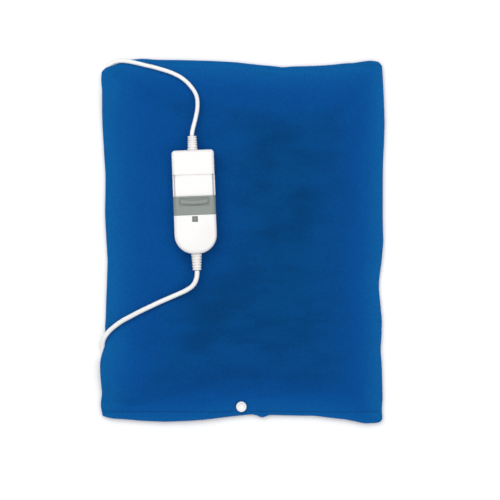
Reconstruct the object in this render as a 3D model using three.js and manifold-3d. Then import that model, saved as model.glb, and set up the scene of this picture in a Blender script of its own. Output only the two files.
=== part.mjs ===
// Electric heating pad with a hand controller. It lies flat, with the controller on top of it and the
// spare mains lead coiled beneath it. Millimetres, +Z up, +X to the right, +Y towards the top edge.
// The origin is on the surface that the pad lies on, under the middle of the pad.

import * as THREE from "three";
import { mergeVertices } from "three/addons/utils/BufferGeometryUtils.js";
import Module from "manifold-3d";

const wasm = await Module();
wasm.setup();

// Driving dimensions of the pad
const padWidth = 312;
const padLength = 400;
const padThickness = 12;
const rimThickness = 3;
const coverThickness = 1.3;
const clearance = 0.3;
const studPairHeight = 3;
const hemThickness = 2 * coverThickness + 2 * clearance + studPairHeight;
const seamHeight = 4;
const pressedSeamHeight = 0.8;
const crownRun = 30;
const bellyHeight = 15;
const footStart = 5;
const footEnd = 26.5;
const bellyStart = 68;
const hemRise = 5;
const hemEnd = 60;
const wireDiameter = 2.4;
const wireEase = 0.75;
const wireSpaceStart = 30;
const wireSpaceEnd = 43;

// Driving dimensions of the controller
const caseWidth = 46;
const caseLength = 113;
const caseHeight = 24;
const caseWall = 2;
const caseRound = 5;
const caseCorner = 6;
const caseEndDepth = 21;
const partingHeight = 12;
const capLength = 26.5;
const trackLength = 44.4;
const trackDepth = 2.3;
const saddleLength = 20.5;
const stationPitch = 7.5;
const stationCount = 4;
const controllerX = -52;
const controllerY = 42.5;
const controllerTurn = 2.15;

// Driving dimensions of the cords and the plug
const padLeadDiameter = 4.5;
const mainsDiameter = 5.2;
const coilPitch = 5.9;
const coilOuterRadius = 41.3;
const coilTurnsPerLayer = 3.4;
const coilX = -25;
const coilY = -70;
const tieThickness = 0.6;
const plugWidth = 35;
const plugThickness = 13.7;
const plugLength = 36;
const pinDiameter = 4;
const pinLength = 19;
const pinSpacing = 19;

const overrun = 4;
const leastDistance = 1e-4;
const grain = 1 / 4096;
const degree = Math.PI / 180;

// Finishes
const finish = (color, roughness, metalness = 0) =>
  new THREE.MeshStandardMaterial({ color, roughness, metalness });
const finishes = {
  coverCloth: finish(0x08508f, 0.95),
  padding: finish(0xd9dde2, 0.95),
  heatingWire: finish(0xa33b33, 0.6),
  whiteShell: finish(0xf2f2f2, 0.35),
  greySlider: finish(0x8b908c, 0.45),
  lens: finish(0x878b87, 0.3),
  innerPlastic: finish(0x3c4043, 0.6),
  board: finish(0xb98a4a, 0.6),
  brass: finish(0xc9a14a, 0.35, 1),
  steel: finish(0xb9bcc0, 0.35, 1),
  whiteCord: finish(0xf0f0ee, 0.5),
};

const model = new THREE.Group();

function place(name, geometry, material, parent = model) {
  const mesh = new THREE.Mesh(geometry, material);
  mesh.name = name;
  parent.add(mesh);
  return mesh;
}

// A closed geometry as a solid that can be cut, and back again
function solidOf(geometry) {
  const bare = geometry.clone();
  bare.deleteAttribute("normal");
  bare.deleteAttribute("uv");
  const positions = bare.attributes.position;
  positions.array.forEach((value, index) => {
    positions.array[index] = Math.round(value / grain) * grain;
  });
  const merged = mergeVertices(bare, grain / 4);
  return new wasm.Manifold(
    new wasm.Mesh({
      numProp: 3,
      vertProperties: new Float32Array(merged.attributes.position.array),
      triVerts: new Uint32Array(merged.index.array),
    }),
  );
}

function geometryOf(solid) {
  const mesh = solid.getMesh();
  const geometry = new THREE.BufferGeometry();
  geometry.setAttribute("position", new THREE.BufferAttribute(mesh.vertProperties, 3));
  geometry.setIndex(new THREE.BufferAttribute(mesh.triVerts, 1));
  geometry.computeVertexNormals();
  return geometry;
}

// Simple solids between named limits
function block(lowX, highX, lowY, highY, lowZ, highZ) {
  const geometry = new THREE.BoxGeometry(highX - lowX, highY - lowY, highZ - lowZ);
  geometry.translate((lowX + highX) / 2, (lowY + highY) / 2, (lowZ + highZ) / 2);
  return geometry;
}

function upright(x, y, radius, lowZ, highZ, sides) {
  const geometry = new THREE.CylinderGeometry(radius, radius, highZ - lowZ, sides);
  geometry.rotateX(Math.PI / 2);
  geometry.translate(x, y, (lowZ + highZ) / 2);
  return geometry;
}

function turned(profile, sides) {
  const points = profile.map(([radius, along]) => new THREE.Vector2(radius, along));
  return new THREE.LatheGeometry(points, sides);
}

// An outline drawn in one plane, pulled straight by a depth
function pulled(points, depth) {
  const shape = new THREE.Shape(points.map(([x, y]) => new THREE.Vector2(x, y)));
  return new THREE.ExtrudeGeometry(shape, { depth, bevelEnabled: false });
}

// An outline pulled to a height from zero, with both of its edges rounded
function softPull(shape, height, round, roundSteps, curveSegments) {
  const points = shape.getPoints(curveSegments).filter(
    (point, index, all) => point.distanceTo(all[(index + 1) % all.length]) > leastDistance,
  );
  const geometry = new THREE.ExtrudeGeometry(new THREE.Shape(points), {
    depth: height - 2 * round,
    bevelEnabled: true,
    bevelThickness: round,
    bevelSize: round,
    bevelOffset: -round,
    bevelSegments: roundSteps,
  });
  geometry.translate(0, 0, round);
  return geometry;
}

// A smooth step from 0 to 1
function eased(value) {
  const t = THREE.MathUtils.clamp(value, 0, 1);
  return t * t * (3 - 2 * t);
}

// The pad's outline: how far each side is drawn in, as shares of the pad's width, at shares of the side
const leftDrawShares = [
  [0, 0.007], [0.0425, 0], [0.065, 0.0065], [0.1, 0.0026], [0.132, 0.0003], [0.161, 0.0013],
  [0.177, 0.0064], [0.193, 0.0205], [0.209, 0.0199], [0.23, 0.0115], [0.27, 0.0147], [0.338, 0.021],
  [0.4125, 0.0253], [0.447, 0.0266], [0.529, 0.0208], [0.5875, 0.0173], [0.675, 0.0192], [0.75, 0.015],
  [0.82, 0.0087], [0.8825, 0.0078], [0.935, 0.0085], [0.97, 0.0145], [1, 0.0256],
];
const rightDrawShares = [
  [0, 0.0077], [0.065, 0.007], [0.1475, 0.01], [0.2, 0.0147], [0.228, 0.0115], [0.283, 0.0096],
  [0.338, 0.0163], [0.379, 0.0199], [0.447, 0.0106], [0.5, 0.0045], [0.611, 0.0067], [0.721, 0.0058],
  [0.776, 0.0026], [0.82, 0], [0.8825, 0.0019], [0.935, 0.0048], [0.97, 0.0093], [1, 0.0141],
];
const bottomDrawShares = [
  [0, 0.0298], [0.03, 0.0205], [0.0955, 0.0144], [0.1464, 0.0093], [0.2061, 0.0064], [0.273, 0.0071],
  [0.3455, 0.0125], [0.4218, 0.0208], [0.5, 0.0295], [0.5782, 0.0265], [0.6545, 0.0289], [0.76, 0.0272],
  [0.815, 0.0199], [0.871, 0.0125], [0.9157, 0.0048], [0.9619, 0], [0.9904, 0.0019], [1, 0.0096],
];
const topDrawShares = [
  [0, 0.0449], [0.0062, 0.0369], [0.0245, 0.024], [0.0545, 0.0135], [0.0955, 0.0016], [0.1464, 0],
  [0.2061, 0.0045], [0.273, 0.0051], [0.395, 0.008], [0.479, 0.0131], [0.5782, 0.0234], [0.647, 0.029],
  [0.727, 0.0266], [0.815, 0.0221], [0.871, 0.0151], [0.927, 0.0099], [0.956, 0.0083], [0.9755, 0.0135],
  [1, 0.0224],
];

function drawAt(shares, at) {
  let index = 1;
  while (index < shares.length - 1 && at > shares[index][0]) index += 1;
  const [lowPlace, lowShare] = shares[index - 1];
  const [highPlace, highShare] = shares[index];
  return THREE.MathUtils.mapLinear(at, lowPlace, highPlace, lowShare, highShare) * padWidth;
}

const leftAt = (v) => -padWidth / 2 + drawAt(leftDrawShares, v);
const rightAt = (v) => padWidth / 2 - drawAt(rightDrawShares, v);
const bottomAt = (u) => -padLength / 2 + drawAt(bottomDrawShares, u);
const topAt = (u) => padLength / 2 - drawAt(topDrawShares, u);

function padPoint(u, v) {
  const x = THREE.MathUtils.lerp(leftAt(v), rightAt(v), u);
  const y = THREE.MathUtils.lerp(bottomAt(u), topAt(u), v);
  return [x, y];
}

// The reverse of padPoint: each pass brings the shares nearer
const sharePasses = 6;

function padShares(x, y) {
  let u = x / padWidth + 1 / 2;
  let v = y / padLength + 1 / 2;
  for (let pass = 0; pass < sharePasses; pass += 1) {
    u = (x - leftAt(v)) / (rightAt(v) - leftAt(v));
    v = (y - bottomAt(u)) / (topAt(u) - bottomAt(u));
  }
  return [u, v];
}

// The grid that every layer of the pad shares: columns crowd towards the sides, rows towards both ends
// and where the mains lead goes over the left edge
const columnCount = 16;
const columnShares = Array.from(
  { length: columnCount + 1 },
  (_, index) => (1 - Math.cos((Math.PI * index) / columnCount)) / 2,
);
const bellyMargin = 4;
const bellyEndShare = 1 - (bellyStart + bellyMargin) / padLength;
const rowShares = [
  0, 0.005, 0.0125, 0.0425, 0.065, 0.1, 0.132, 0.161, 0.177, 0.193, 0.209, 0.23, 0.27, 0.325, 0.4125, 0.5,
  0.5875, 0.675, 0.75, bellyEndShare, 0.8825, 0.935, 0.9625, 0.9825, 0.995, 1,
];

// Routes of the cords, chosen by hand
const padLeadRoute = [
  [-54.71, 114.6, 39.3], [-54.75, 116.8, 39.3], [-54.0, 121.2, 38.9], [-51.8, 130.0, 37.2],
  [-50.3, 136.5, 35.0], [-49.2, 143.1, 32.0], [-48.9, 149.7, 28.2], [-49.5, 156.3, 24.2],
  [-52.0, 162.8, 20.6], [-56.6, 169.4, 17.6], [-63.1, 176.0, 15.2], [-73.5, 182.5, 12.6],
  [-92.2, 189.1, 9.9], [-106.2, 192.6, 8.4], [-119.2, 195.7, 7.2], [-128.1, 197.2, 6.9],
  [-133.9, 197.4, 6.4], [-140.1, 196.3, 5.3], [-146.4, 192.3, 3.9], [-150.2, 186.3, 2.9],
  [-151.6, 179.4, 2.4], [-151.3, 171.6, 2.3], [-148.5, 163.0, 2.3], [-142.0, 154.5, 2.3],
  [-132.0, 147.0, 2.3], [-120.0, 139.0, 2.3], [-108.0, 130.0, 2.7], [-97.5, 122.6, 4.9],
  [-90.0, 119.2, 7.7], [-84.8, 118.1, 9.5], [-80.3, 118.0, 9.9],
];
const mainsLeadRoute = [
  [-49.2, -32.1, 39.3], [-49.12, -34.6, 39.3], [-50.2, -41.6, 38.4], [-53.2, -47.6, 36.6],
  [-59.8, -52.9, 34.4], [-69.4, -57.6, 32.0], [-80.0, -62.2, 30.3], [-90.5, -66.8, 29.0],
  [-100.5, -71.5, 26.6], [-111.9, -77.0, 22.6], [-122.4, -82.5, 18.6], [-132.2, -87.9, 15.0],
  [-139.8, -93.4, 12.2], [-146.0, -98.9, 10.2], [-150.3, -104.4, 9.0], [-152.7, -109.8, 7.3],
  [-153.4, -115.3, 4.9], [-153.2, -120.8, 3.2], [-152.0, -127.5, 2.7], [-149.2, -136.2, 2.6],
  [-142.6, -145.2, 2.6], [-131.5, -151.2, 2.6], [-116.5, -152.2, 2.6], [-97.0, -146.5, 2.6],
  [-76.0, -134.0, 2.8], [-60.0, -122.5, 3.2], [-44.5, -114.0, 3.5], [-25.3, -111.3, 3.5],
];
const plugLeadRoute = [
  [14.1, -56.9, 9.4], [12.4, -51.4, 9.2], [9.7, -41.0, 7.4], [7.6, -30.0, 4.6], [6.2, -18.0, 2.8],
  [5.4, -6.0, 2.6], [5.0, 6.0, 2.8], [5.0, 17.0, 4.4], [5.0, 26.0, 6.3], [5.0, 31.0, 6.85],
  [5.0, 34.4, 6.85],
];

// Places where a lead lies under the pad's edge and lifts it, or lies on the edge and presses it down
const liftUnderPadLead = 6.0;
const liftUnderMains = 6.6;
const liftCore = 12;
const liftReach = 30;
const liftedPadLead = padLeadRoute.slice(19, 29);
const liftedMains = mainsLeadRoute.slice(18, 25);
const pressedMains = mainsLeadRoute[14];
const pressedPadLead = padLeadRoute[15];
const pressedByMainsReach = 8;
const pressedByPadLeadReach = 15;
const pressedFade = 3;

function pressedAt([pressedX, pressedY], reach, x, y) {
  return 1 - eased((Math.hypot(x - pressedX, y - pressedY) / reach - 1) * pressedFade);
}

function distanceToRoute(route, x, y) {
  let least = Infinity;
  for (let index = 1; index < route.length; index += 1) {
    const [startX, startY] = route[index - 1];
    const [endX, endY] = route[index];
    const alongX = endX - startX;
    const alongY = endY - startY;
    const share = THREE.MathUtils.clamp(
      ((x - startX) * alongX + (y - startY) * alongY) / (alongX * alongX + alongY * alongY),
      0,
      1,
    );
    least = Math.min(least, Math.hypot(x - startX - share * alongX, y - startY - share * alongY));
  }
  return least;
}

function liftOver(route, height, x, y) {
  return height * (1 - eased((distanceToRoute(route, x, y) - liftCore) / (liftReach - liftCore)));
}

// The press stud that closes the cover, and the raised patch of cover round it
const studX = -1.1;
const studInset = 18.5;
const studY = -padLength / 2 + studInset;
const studLift = 1.6;
const studFlat = 32;
const studFade = 30;

// How far a place is inside the rim, with round corners
const cornerPower = 4;

function blendedDistance(across, along) {
  const acrossTerm = Math.max(across, leastDistance) ** -cornerPower;
  const alongTerm = Math.max(along, leastDistance) ** -cornerPower;
  return (acrossTerm + alongTerm) ** (-1 / cornerPower);
}

const rimDistance = (u, v) =>
  blendedDistance(Math.min(u, 1 - u) * padWidth, Math.min(v, 1 - v) * padLength);

// Height of the pad's underside, and the pad's thickness, at a place of the grid
function undersideAt(u, v) {
  const [x, y] = padPoint(u, v);
  const distance = rimDistance(u, v);
  const pressed = Math.max(
    pressedAt(pressedMains, pressedByMainsReach, x, y),
    pressedAt(pressedPadLead, pressedByPadLeadReach, x, y),
  );
  const seam = THREE.MathUtils.lerp(seamHeight, pressedSeamHeight, pressed);
  const turnedUp = seam * (1 - eased(distance / footStart));
  const belly = bellyHeight * eased((distance - footEnd) / (bellyStart - footEnd));
  const overPadLead = liftOver(liftedPadLead, liftUnderPadLead, x, y);
  const overMains = liftOver(liftedMains, liftUnderMains, x, y);
  const lifted = Math.max(overPadLead, overMains) * (1 - pressed);
  const overStud = studLift * (1 - eased((Math.hypot(x - studX, y - studY) - studFlat) / studFade));
  return Math.max(turnedUp + belly, lifted, overStud);
}

function thicknessAt(u, v) {
  const distance = blendedDistance(Math.min(u, 1 - u) * padWidth, (1 - v) * padLength);
  const side = rimThickness + (padThickness - rimThickness) * eased(distance / crownRun);
  const fromHem = v * padLength;
  const hem =
    rimThickness +
    (hemThickness - rimThickness) * eased(fromHem / hemRise) +
    (padThickness - hemThickness) * eased((fromHem - footEnd) / (hemEnd - footEnd));
  return Math.min(side, hem);
}

const topAtShares = (u, v) => undersideAt(u, v) + thicknessAt(u, v);

// The space for the heating wire between the two padding layers, and a layer's own thickness
function wireSpaceAt(u, v) {
  const open = eased((rimDistance(u, v) - wireSpaceStart) / (wireSpaceEnd - wireSpaceStart));
  return clearance + (wireDiameter + 2 * wireEase - clearance) * open;
}

function layerThicknessAt(u, v) {
  const room = thicknessAt(u, v) - 2 * coverThickness - 2 * clearance - wireSpaceAt(u, v);
  return room / 2;
}

const backLayerTopAt = (u, v) =>
  undersideAt(u, v) + coverThickness + clearance + layerThicknessAt(u, v);

// A closed layer over the grid between two heights, leaving out grid lines at each side
function padLayer(lowAt, highAt, [left, right, bottom, top]) {
  const columns = columnShares.slice(left, columnShares.length - right);
  const rows = rowShares.slice(bottom, rowShares.length - top);
  const positions = [];
  for (const heightAt of [lowAt, highAt]) {
    for (const v of rows) {
      for (const u of columns) positions.push(...padPoint(u, v), heightAt(u, v));
    }
  }
  const sheet = columns.length * rows.length;
  const at = (column, row) => row * columns.length + column;
  const indices = [];
  for (let row = 0; row < rows.length - 1; row += 1) {
    for (let column = 0; column < columns.length - 1; column += 1) {
      const near = at(column, row);
      const beside = at(column + 1, row);
      const far = at(column + 1, row + 1);
      const behind = at(column, row + 1);
      indices.push(near, far, beside, near, behind, far);
      indices.push(near + sheet, beside + sheet, far + sheet, near + sheet, far + sheet, behind + sheet);
    }
  }
  const lastColumn = columns.length - 1;
  const lastRow = rows.length - 1;
  const rim = [
    ...Array.from({ length: lastColumn }, (_, index) => at(index, 0)),
    ...Array.from({ length: lastRow }, (_, index) => at(lastColumn, index)),
    ...Array.from({ length: lastColumn }, (_, index) => at(lastColumn - index, lastRow)),
    ...Array.from({ length: lastRow }, (_, index) => at(0, lastRow - index)),
  ];
  rim.forEach((start, index) => {
    const end = rim[(index + 1) % rim.length];
    indices.push(start, end, end + sheet, start, end + sheet, start + sheet);
  });
  const geometry = new THREE.BufferGeometry();
  geometry.setAttribute("position", new THREE.Float32BufferAttribute(positions, 3));
  geometry.setIndex(indices);
  geometry.computeVertexNormals();
  return geometry;
}

// The height of a layer's surface over any place of the pad, on the grid's own flat faces
function surfaceHeight(heightAt, x, y) {
  const [u, v] = padShares(x, y);
  const column = Math.max(1, columnShares.findIndex((share) => share > u)) - 1;
  const row = Math.max(1, rowShares.findIndex((share) => share > v)) - 1;
  const [lowU, highU] = [columnShares[column], columnShares[column + 1]];
  const [lowV, highV] = [rowShares[row], rowShares[row + 1]];
  const a = (u - lowU) / (highU - lowU);
  const b = (v - lowV) / (highV - lowV);
  const near = heightAt(lowU, lowV);
  const far = heightAt(highU, highV);
  if (a >= b) {
    const right = heightAt(highU, lowV);
    return near + a * (right - near) + b * (far - right);
  }
  const left = heightAt(lowU, highV);
  return near + b * (left - near) + a * (far - left);
}

// A tube of few sides along points, with a ring at each point and flat ends
function sweptTube(points, radius, sides) {
  const tangents = points.map((_, index) => {
    const from = points[Math.max(index - 1, 0)];
    const to = points[Math.min(index + 1, points.length - 1)];
    return to.clone().sub(from).normalize();
  });
  const up = new THREE.Vector3(0, 0, 1);
  const positions = [];
  points.forEach((point, index) => {
    const across = new THREE.Vector3().crossVectors(tangents[index], up).normalize();
    const over = new THREE.Vector3().crossVectors(across, tangents[index]).normalize();
    for (let side = 0; side < sides; side += 1) {
      const angle = (2 * Math.PI * (side + 1 / 2)) / sides;
      const corner = point.clone();
      corner.addScaledVector(across, radius * Math.cos(angle));
      corner.addScaledVector(over, radius * Math.sin(angle));
      positions.push(corner.x, corner.y, corner.z);
    }
  });
  const indices = [];
  for (let ring = 0; ring < points.length - 1; ring += 1) {
    for (let side = 0; side < sides; side += 1) {
      const next = (side + 1) % sides;
      const near = ring * sides + side;
      const beside = ring * sides + next;
      indices.push(near, beside + sides, beside, near, near + sides, beside + sides);
    }
  }
  const last = (points.length - 1) * sides;
  for (let side = 1; side < sides - 1; side += 1) {
    indices.push(0, side, side + 1);
    indices.push(last, last + side + 1, last + side);
  }
  const geometry = new THREE.BufferGeometry();
  geometry.setAttribute("position", new THREE.Float32BufferAttribute(positions, 3));
  geometry.setIndex(indices);
  geometry.computeVertexNormals();
  return geometry;
}

// Cover panels, padding layers and what goes through them
const padHeight = bellyHeight + padThickness;
const glandInsetX = 96;
const glandInsetY = 82;
const glandX = -padWidth / 2 + glandInsetX;
const glandY = padLength / 2 - glandInsetY;
const glandNeckRadius = 3.6;
const rivetRadius = 1.2;
const noMargins = [0, 0, 0, 0];
const insertMargins = [2, 2, 4, 3];
const holeSides = 12;

function pierced(geometry, holes) {
  let solid = solidOf(geometry);
  for (const [x, y, radius] of holes) {
    const hole = upright(x, y, radius + clearance, -overrun, padHeight + overrun, holeSides);
    solid = solid.subtract(solidOf(hole));
  }
  return geometryOf(solid);
}

const backPanel = padLayer(
  undersideAt,
  (u, v) => undersideAt(u, v) + coverThickness,
  noMargins,
);
const frontPanel = padLayer((u, v) => topAtShares(u, v) - coverThickness, topAtShares, noMargins);
const backLayer = padLayer(
  (u, v) => undersideAt(u, v) + coverThickness + clearance,
  backLayerTopAt,
  insertMargins,
);
const frontLayer = padLayer(
  (u, v) => backLayerTopAt(u, v) + wireSpaceAt(u, v),
  (u, v) => topAtShares(u, v) - coverThickness - clearance,
  insertMargins,
);
const glandHole = [glandX, glandY, glandNeckRadius];
const rivetHole = [studX, studY, rivetRadius];
place("cover_back_panel", pierced(backPanel, [glandHole, rivetHole]), finishes.coverCloth);
place("cover_front_panel", pierced(frontPanel, [rivetHole]), finishes.coverCloth);
place("insert_back_layer", pierced(backLayer, [glandHole]), finishes.padding);
place("insert_front_layer", frontLayer, finishes.padding);

// Heating wire: rows across the pad, one return run up the right side, both ends at the junction
const wireSideMargin = 65;
const wireRightMargin = 76;
const returnMargin = 54;
const wireEndMargin = 59.5;
const wireRowPitch = 23.5;
const junctionLength = 20;
const junctionWidth = 9;
const turnSteps = 6;
const wireSides = 6;

function wirePoint(x, y) {
  const height = surfaceHeight((u, v) => backLayerTopAt(u, v) + wireSpaceAt(u, v) / 2, x, y);
  return new THREE.Vector3(x, y, height);
}

function wireArc(centreX, centreY, radius, startDegrees, sweepDegrees, steps) {
  return Array.from({ length: steps + 1 }, (_, index) => {
    const angle = (startDegrees + (sweepDegrees * index) / steps) * degree;
    return wirePoint(centreX + radius * Math.cos(angle), centreY + radius * Math.sin(angle));
  });
}

// Where a row of wire crosses the grid's columns at the edge of the pad's flat middle
function columnCrossings(y) {
  const [, v] = padShares(0, y);
  return columnShares
    .map((u) => padPoint(u, v)[0])
    .filter((x) => x > wireLeft && x < wireRight && (Math.abs(x) > flatMiddle || y < flatBottom))
    .map((x) => wirePoint(x, y));
}

const flatMiddle = padWidth / 2 - bellyStart - 2 * wireRowPitch;
const flatBottom = bellyStart + wireRowPitch - padLength / 2;
const wireLeft = -padWidth / 2 + wireSideMargin;
const wireRight = padWidth / 2 - wireRightMargin;
const returnX = padWidth / 2 - returnMargin;
const wireRoom = glandY + padLength / 2 - wireEndMargin;
const wireRowCount = 2 * Math.floor((wireRoom / wireRowPitch - 1) / 2) + 1;
const wireTurn = wireRowPitch / 2;
const wirePoints = [wirePoint(glandX - junctionLength / 2 - clearance, glandY)];
const glandRow = columnCrossings(glandY).reverse();
wirePoints.push(...glandRow.filter((point) => point.x < glandX - junctionLength));
for (let row = 0; row < wireRowCount; row += 1) {
  const turnY = glandY - (row + 1 / 2) * wireRowPitch;
  const onLeft = row % 2 === 0;
  const sweep = onLeft ? 180 : -180;
  wirePoints.push(...wireArc(onLeft ? wireLeft : wireRight, turnY, wireTurn, 90, sweep, turnSteps));
  const crossings = columnCrossings(turnY - wireTurn);
  wirePoints.push(...(onLeft ? crossings : crossings.reverse()));
}
const lastRowY = glandY - wireRowCount * wireRowPitch;
wirePoints.push(...wireArc(returnX - wireTurn, lastRowY + wireTurn, wireTurn, -90, 90, turnSteps / 2));
const returnShare = padShares(returnX, 0)[0];
const returnPoints = rowShares
  .map((share) => padPoint(returnShare, share)[1])
  .filter((y) => y > lastRowY + wireRowPitch && y < glandY - wireRowPitch)
  .map((y) => wirePoint(returnX, y));
wirePoints.push(...returnPoints);
wirePoints.push(...wireArc(returnX - wireTurn, glandY - wireTurn, wireTurn, 0, 90, turnSteps / 2));
wirePoints.push(...glandRow.filter((point) => point.x > glandX + junctionLength));
wirePoints.push(wirePoint(glandX + junctionLength / 2 + clearance, glandY));
place("heating_wire", sweptTube(wirePoints, wireDiameter / 2, wireSides), finishes.heatingWire);

// A flat piece that lies between the padding layers
function wireSpaceBlock(x, y, length, width) {
  const low = surfaceHeight(backLayerTopAt, x, y) + wireEase;
  return block(x - length / 2, x + length / 2, y - width / 2, y + width / 2, low, low + wireDiameter);
}

const thermostatLength = 16;
const thermostatWidth = 6.5;
const thermostatRows = [3, 7];
const junction = wireSpaceBlock(glandX, glandY, junctionLength, junctionWidth);
place("wire_junction", junction, finishes.innerPlastic);
thermostatRows.forEach((row, index) => {
  const rowY = glandY - row * wireRowPitch;
  const y = rowY - wireDiameter / 2 - clearance - thermostatWidth / 2;
  const geometry = wireSpaceBlock(0, y, thermostatLength, thermostatWidth);
  place(`thermostat_${index + 1}`, geometry, finishes.innerPlastic);
});

// A tapered strain relief with ribs, from its base at zero along +Y to its tip
const bootSides = 10;
const bootRibs = 4;
const collarShare = 0.2;
const grooveShare = 0.4;
const grooveDepthShare = 0.16;

function ribbedBoot(baseRadius, tipRadius, length) {
  const radiusAt = (along) => THREE.MathUtils.lerp(baseRadius, tipRadius, along / length);
  const collar = length * collarShare;
  const pitch = (length - collar) / bootRibs;
  const groove = pitch * grooveShare;
  const depth = baseRadius * grooveDepthShare;
  const profile = [[0, 0], [radiusAt(0), 0], [radiusAt(collar), collar]];
  for (let rib = 0; rib < bootRibs; rib += 1) {
    const start = collar + rib * pitch;
    profile.push([radiusAt(start) - depth, start + groove / 4]);
    profile.push([radiusAt(start + groove) - depth, start + groove]);
    profile.push([radiusAt(start + groove), start + groove * (5 / 4)]);
    profile.push([radiusAt(start + pitch), start + pitch]);
  }
  profile.push([0, length]);
  return turned(profile, bootSides);
}

// The gland that lets the pad lead out of the back of the cover
const glandFlangeRadius = 9;
const glandFlangeThickness = 1.6;
const glandBootRadius = 4.5;
const glandTipRadius = 3.4;
const glandReach = 20;
const glandShoulder = 5;
const glandFlangeSides = 20;
const glandFlangeTop = bellyHeight - 2 * clearance;
const glandAxisHeight = glandFlangeTop - glandBootRadius;

const glandBoot = ribbedBoot(glandBootRadius, glandTipRadius, glandReach + glandShoulder);
glandBoot.rotateZ(Math.PI / 2);
glandBoot.translate(glandX + glandShoulder, glandY, glandAxisHeight);
const glandFlangeBase = glandFlangeTop - glandFlangeThickness;
const glandFlange = upright(
  glandX,
  glandY,
  glandFlangeRadius,
  glandFlangeBase,
  glandFlangeTop,
  glandFlangeSides,
);
const glandNeckTop = surfaceHeight(backLayerTopAt, glandX, glandY);
const glandNeck = upright(glandX, glandY, glandNeckRadius, glandFlangeBase, glandNeckTop, holeSides);
const gland = solidOf(glandFlange).add(solidOf(glandBoot)).add(solidOf(glandNeck));
place("pad_lead_gland", geometryOf(gland), finishes.whiteShell);

// Press stud, from below: back cap, stud, socket, cap
const studSides = 20;
const capRadius = 5.75;
const capRise = 1.8;
const capEdge = 0.4;
const backCapRadius = 5;
const backCapThickness = studLift - 2 * clearance;
const studPlateRadius = 4.6;
const studPlateThickness = 0.8;
const studKnobRadius = 2.2;
const studKnobHeight = 1;
const socketRadius = 4.8;
const socketLipHeight = studPairHeight - studPlateThickness - studKnobHeight - 2 * clearance;
const domeShares = [[0.9, 0.62], [0.63, 0.9]];

const studPlateBase = studLift + coverThickness + clearance;
const studPlateTop = studPlateBase + studPlateThickness;
const studKnobTop = studPlateTop + studKnobHeight;
const socketTop = studLift + hemThickness - coverThickness - clearance;
const socketInside = studKnobTop + clearance;
const capBase = studLift + hemThickness + clearance;
const rivetHoleRadius = rivetRadius + clearance;

function studPiece(name, profile) {
  const geometry = turned(profile, studSides);
  geometry.rotateX(Math.PI / 2);
  geometry.translate(studX, studY, 0);
  place(name, geometry, finishes.whiteShell);
}

studPiece("stud_back_cap", [
  [0, clearance], [backCapRadius, clearance], [backCapRadius, clearance + backCapThickness],
  [rivetRadius, clearance + backCapThickness], [rivetRadius, studPlateTop], [0, studPlateTop],
]);
studPiece("stud_post", [
  [rivetHoleRadius, studPlateBase], [studPlateRadius, studPlateBase], [studPlateRadius, studPlateTop],
  [studKnobRadius, studPlateTop], [studKnobRadius, studKnobTop], [rivetHoleRadius, studKnobTop],
  [rivetHoleRadius, studPlateBase],
]);
studPiece("stud_socket", [
  [studKnobRadius + clearance, studPlateTop + clearance], [socketRadius, studPlateTop + clearance],
  [socketRadius, socketTop], [rivetHoleRadius, socketTop], [rivetHoleRadius, socketInside],
  [studKnobRadius + clearance, socketInside], [studKnobRadius + clearance, studPlateTop + clearance],
]);
studPiece("stud_cap", [
  [0, socketInside], [rivetRadius, socketInside], [rivetRadius, capBase], [capRadius, capBase],
  [capRadius, capBase + capEdge],
  ...domeShares.map(([out, up]) => [capRadius * out, capBase + capRise * up]),
  [0, capBase + capRise],
]);

// Controller: lies on the pad, turned a little. In its own frame +Y is towards the cap end and Z = 0 at its
// back
const controller = new THREE.Group();
controller.position.set(controllerX, controllerY, padHeight + clearance);
controller.rotation.z = controllerTurn * degree;
model.add(controller);

const caseTop = caseLength / 2;
const trackTop = caseTop - capLength;
const trackBottom = trackTop - trackLength;
const saddleLow = trackBottom + clearance;
const saddleMiddle = saddleLow + saddleLength / 2;
const saddleTravel = stationPitch * (stationCount - 1);
const frontBase = partingHeight + clearance / 2;
const backTop = partingHeight - clearance / 2;
const caseCurveSteps = 6;
const caseBevelSteps = 2;

// The case as one rounded block, drawn in on every side by an inset
function caseBlock(inset) {
  const halfWidth = caseWidth / 2 - inset;
  const high = caseTop - inset;
  const arcY = -caseTop + caseEndDepth;
  const corner = Math.max(caseCorner - inset, caseWall / 2);
  const round = Math.max(caseRound - inset, clearance);
  const shape = new THREE.Shape();
  shape.absellipse(0, arcY, halfWidth, caseEndDepth - inset, Math.PI, 2 * Math.PI, false);
  shape.absarc(halfWidth - corner, high - corner, corner, 0, Math.PI / 2, false);
  shape.absarc(-halfWidth + corner, high - corner, corner, Math.PI / 2, Math.PI, false);
  const depth = caseHeight - 2 * inset;
  const geometry = softPull(shape, depth, round, caseBevelSteps, caseCurveSteps);
  geometry.translate(0, 0, inset);
  return solidOf(geometry);
}

// Everything of a solid between two places along the case and two heights
function part(solid, lowY, highY, lowZ, highZ) {
  return solid.intersect(solidOf(block(-caseWidth, caseWidth, lowY, highY, lowZ, highZ)));
}

const above = caseHeight + overrun;
const outerBlock = caseBlock(0);
const innerBlock = caseBlock(caseWall);
const trackBlock = caseBlock(trackDepth);
const trackInner = caseBlock(trackDepth + caseWall);
const bandCut = solidOf(block(-caseWidth, caseWidth, trackBottom, trackTop, frontBase - overrun, above));
const bandInner = solidOf(
  block(-caseWidth, caseWidth, trackBottom - caseWall, trackTop + caseWall, frontBase - overrun, above),
);

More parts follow.
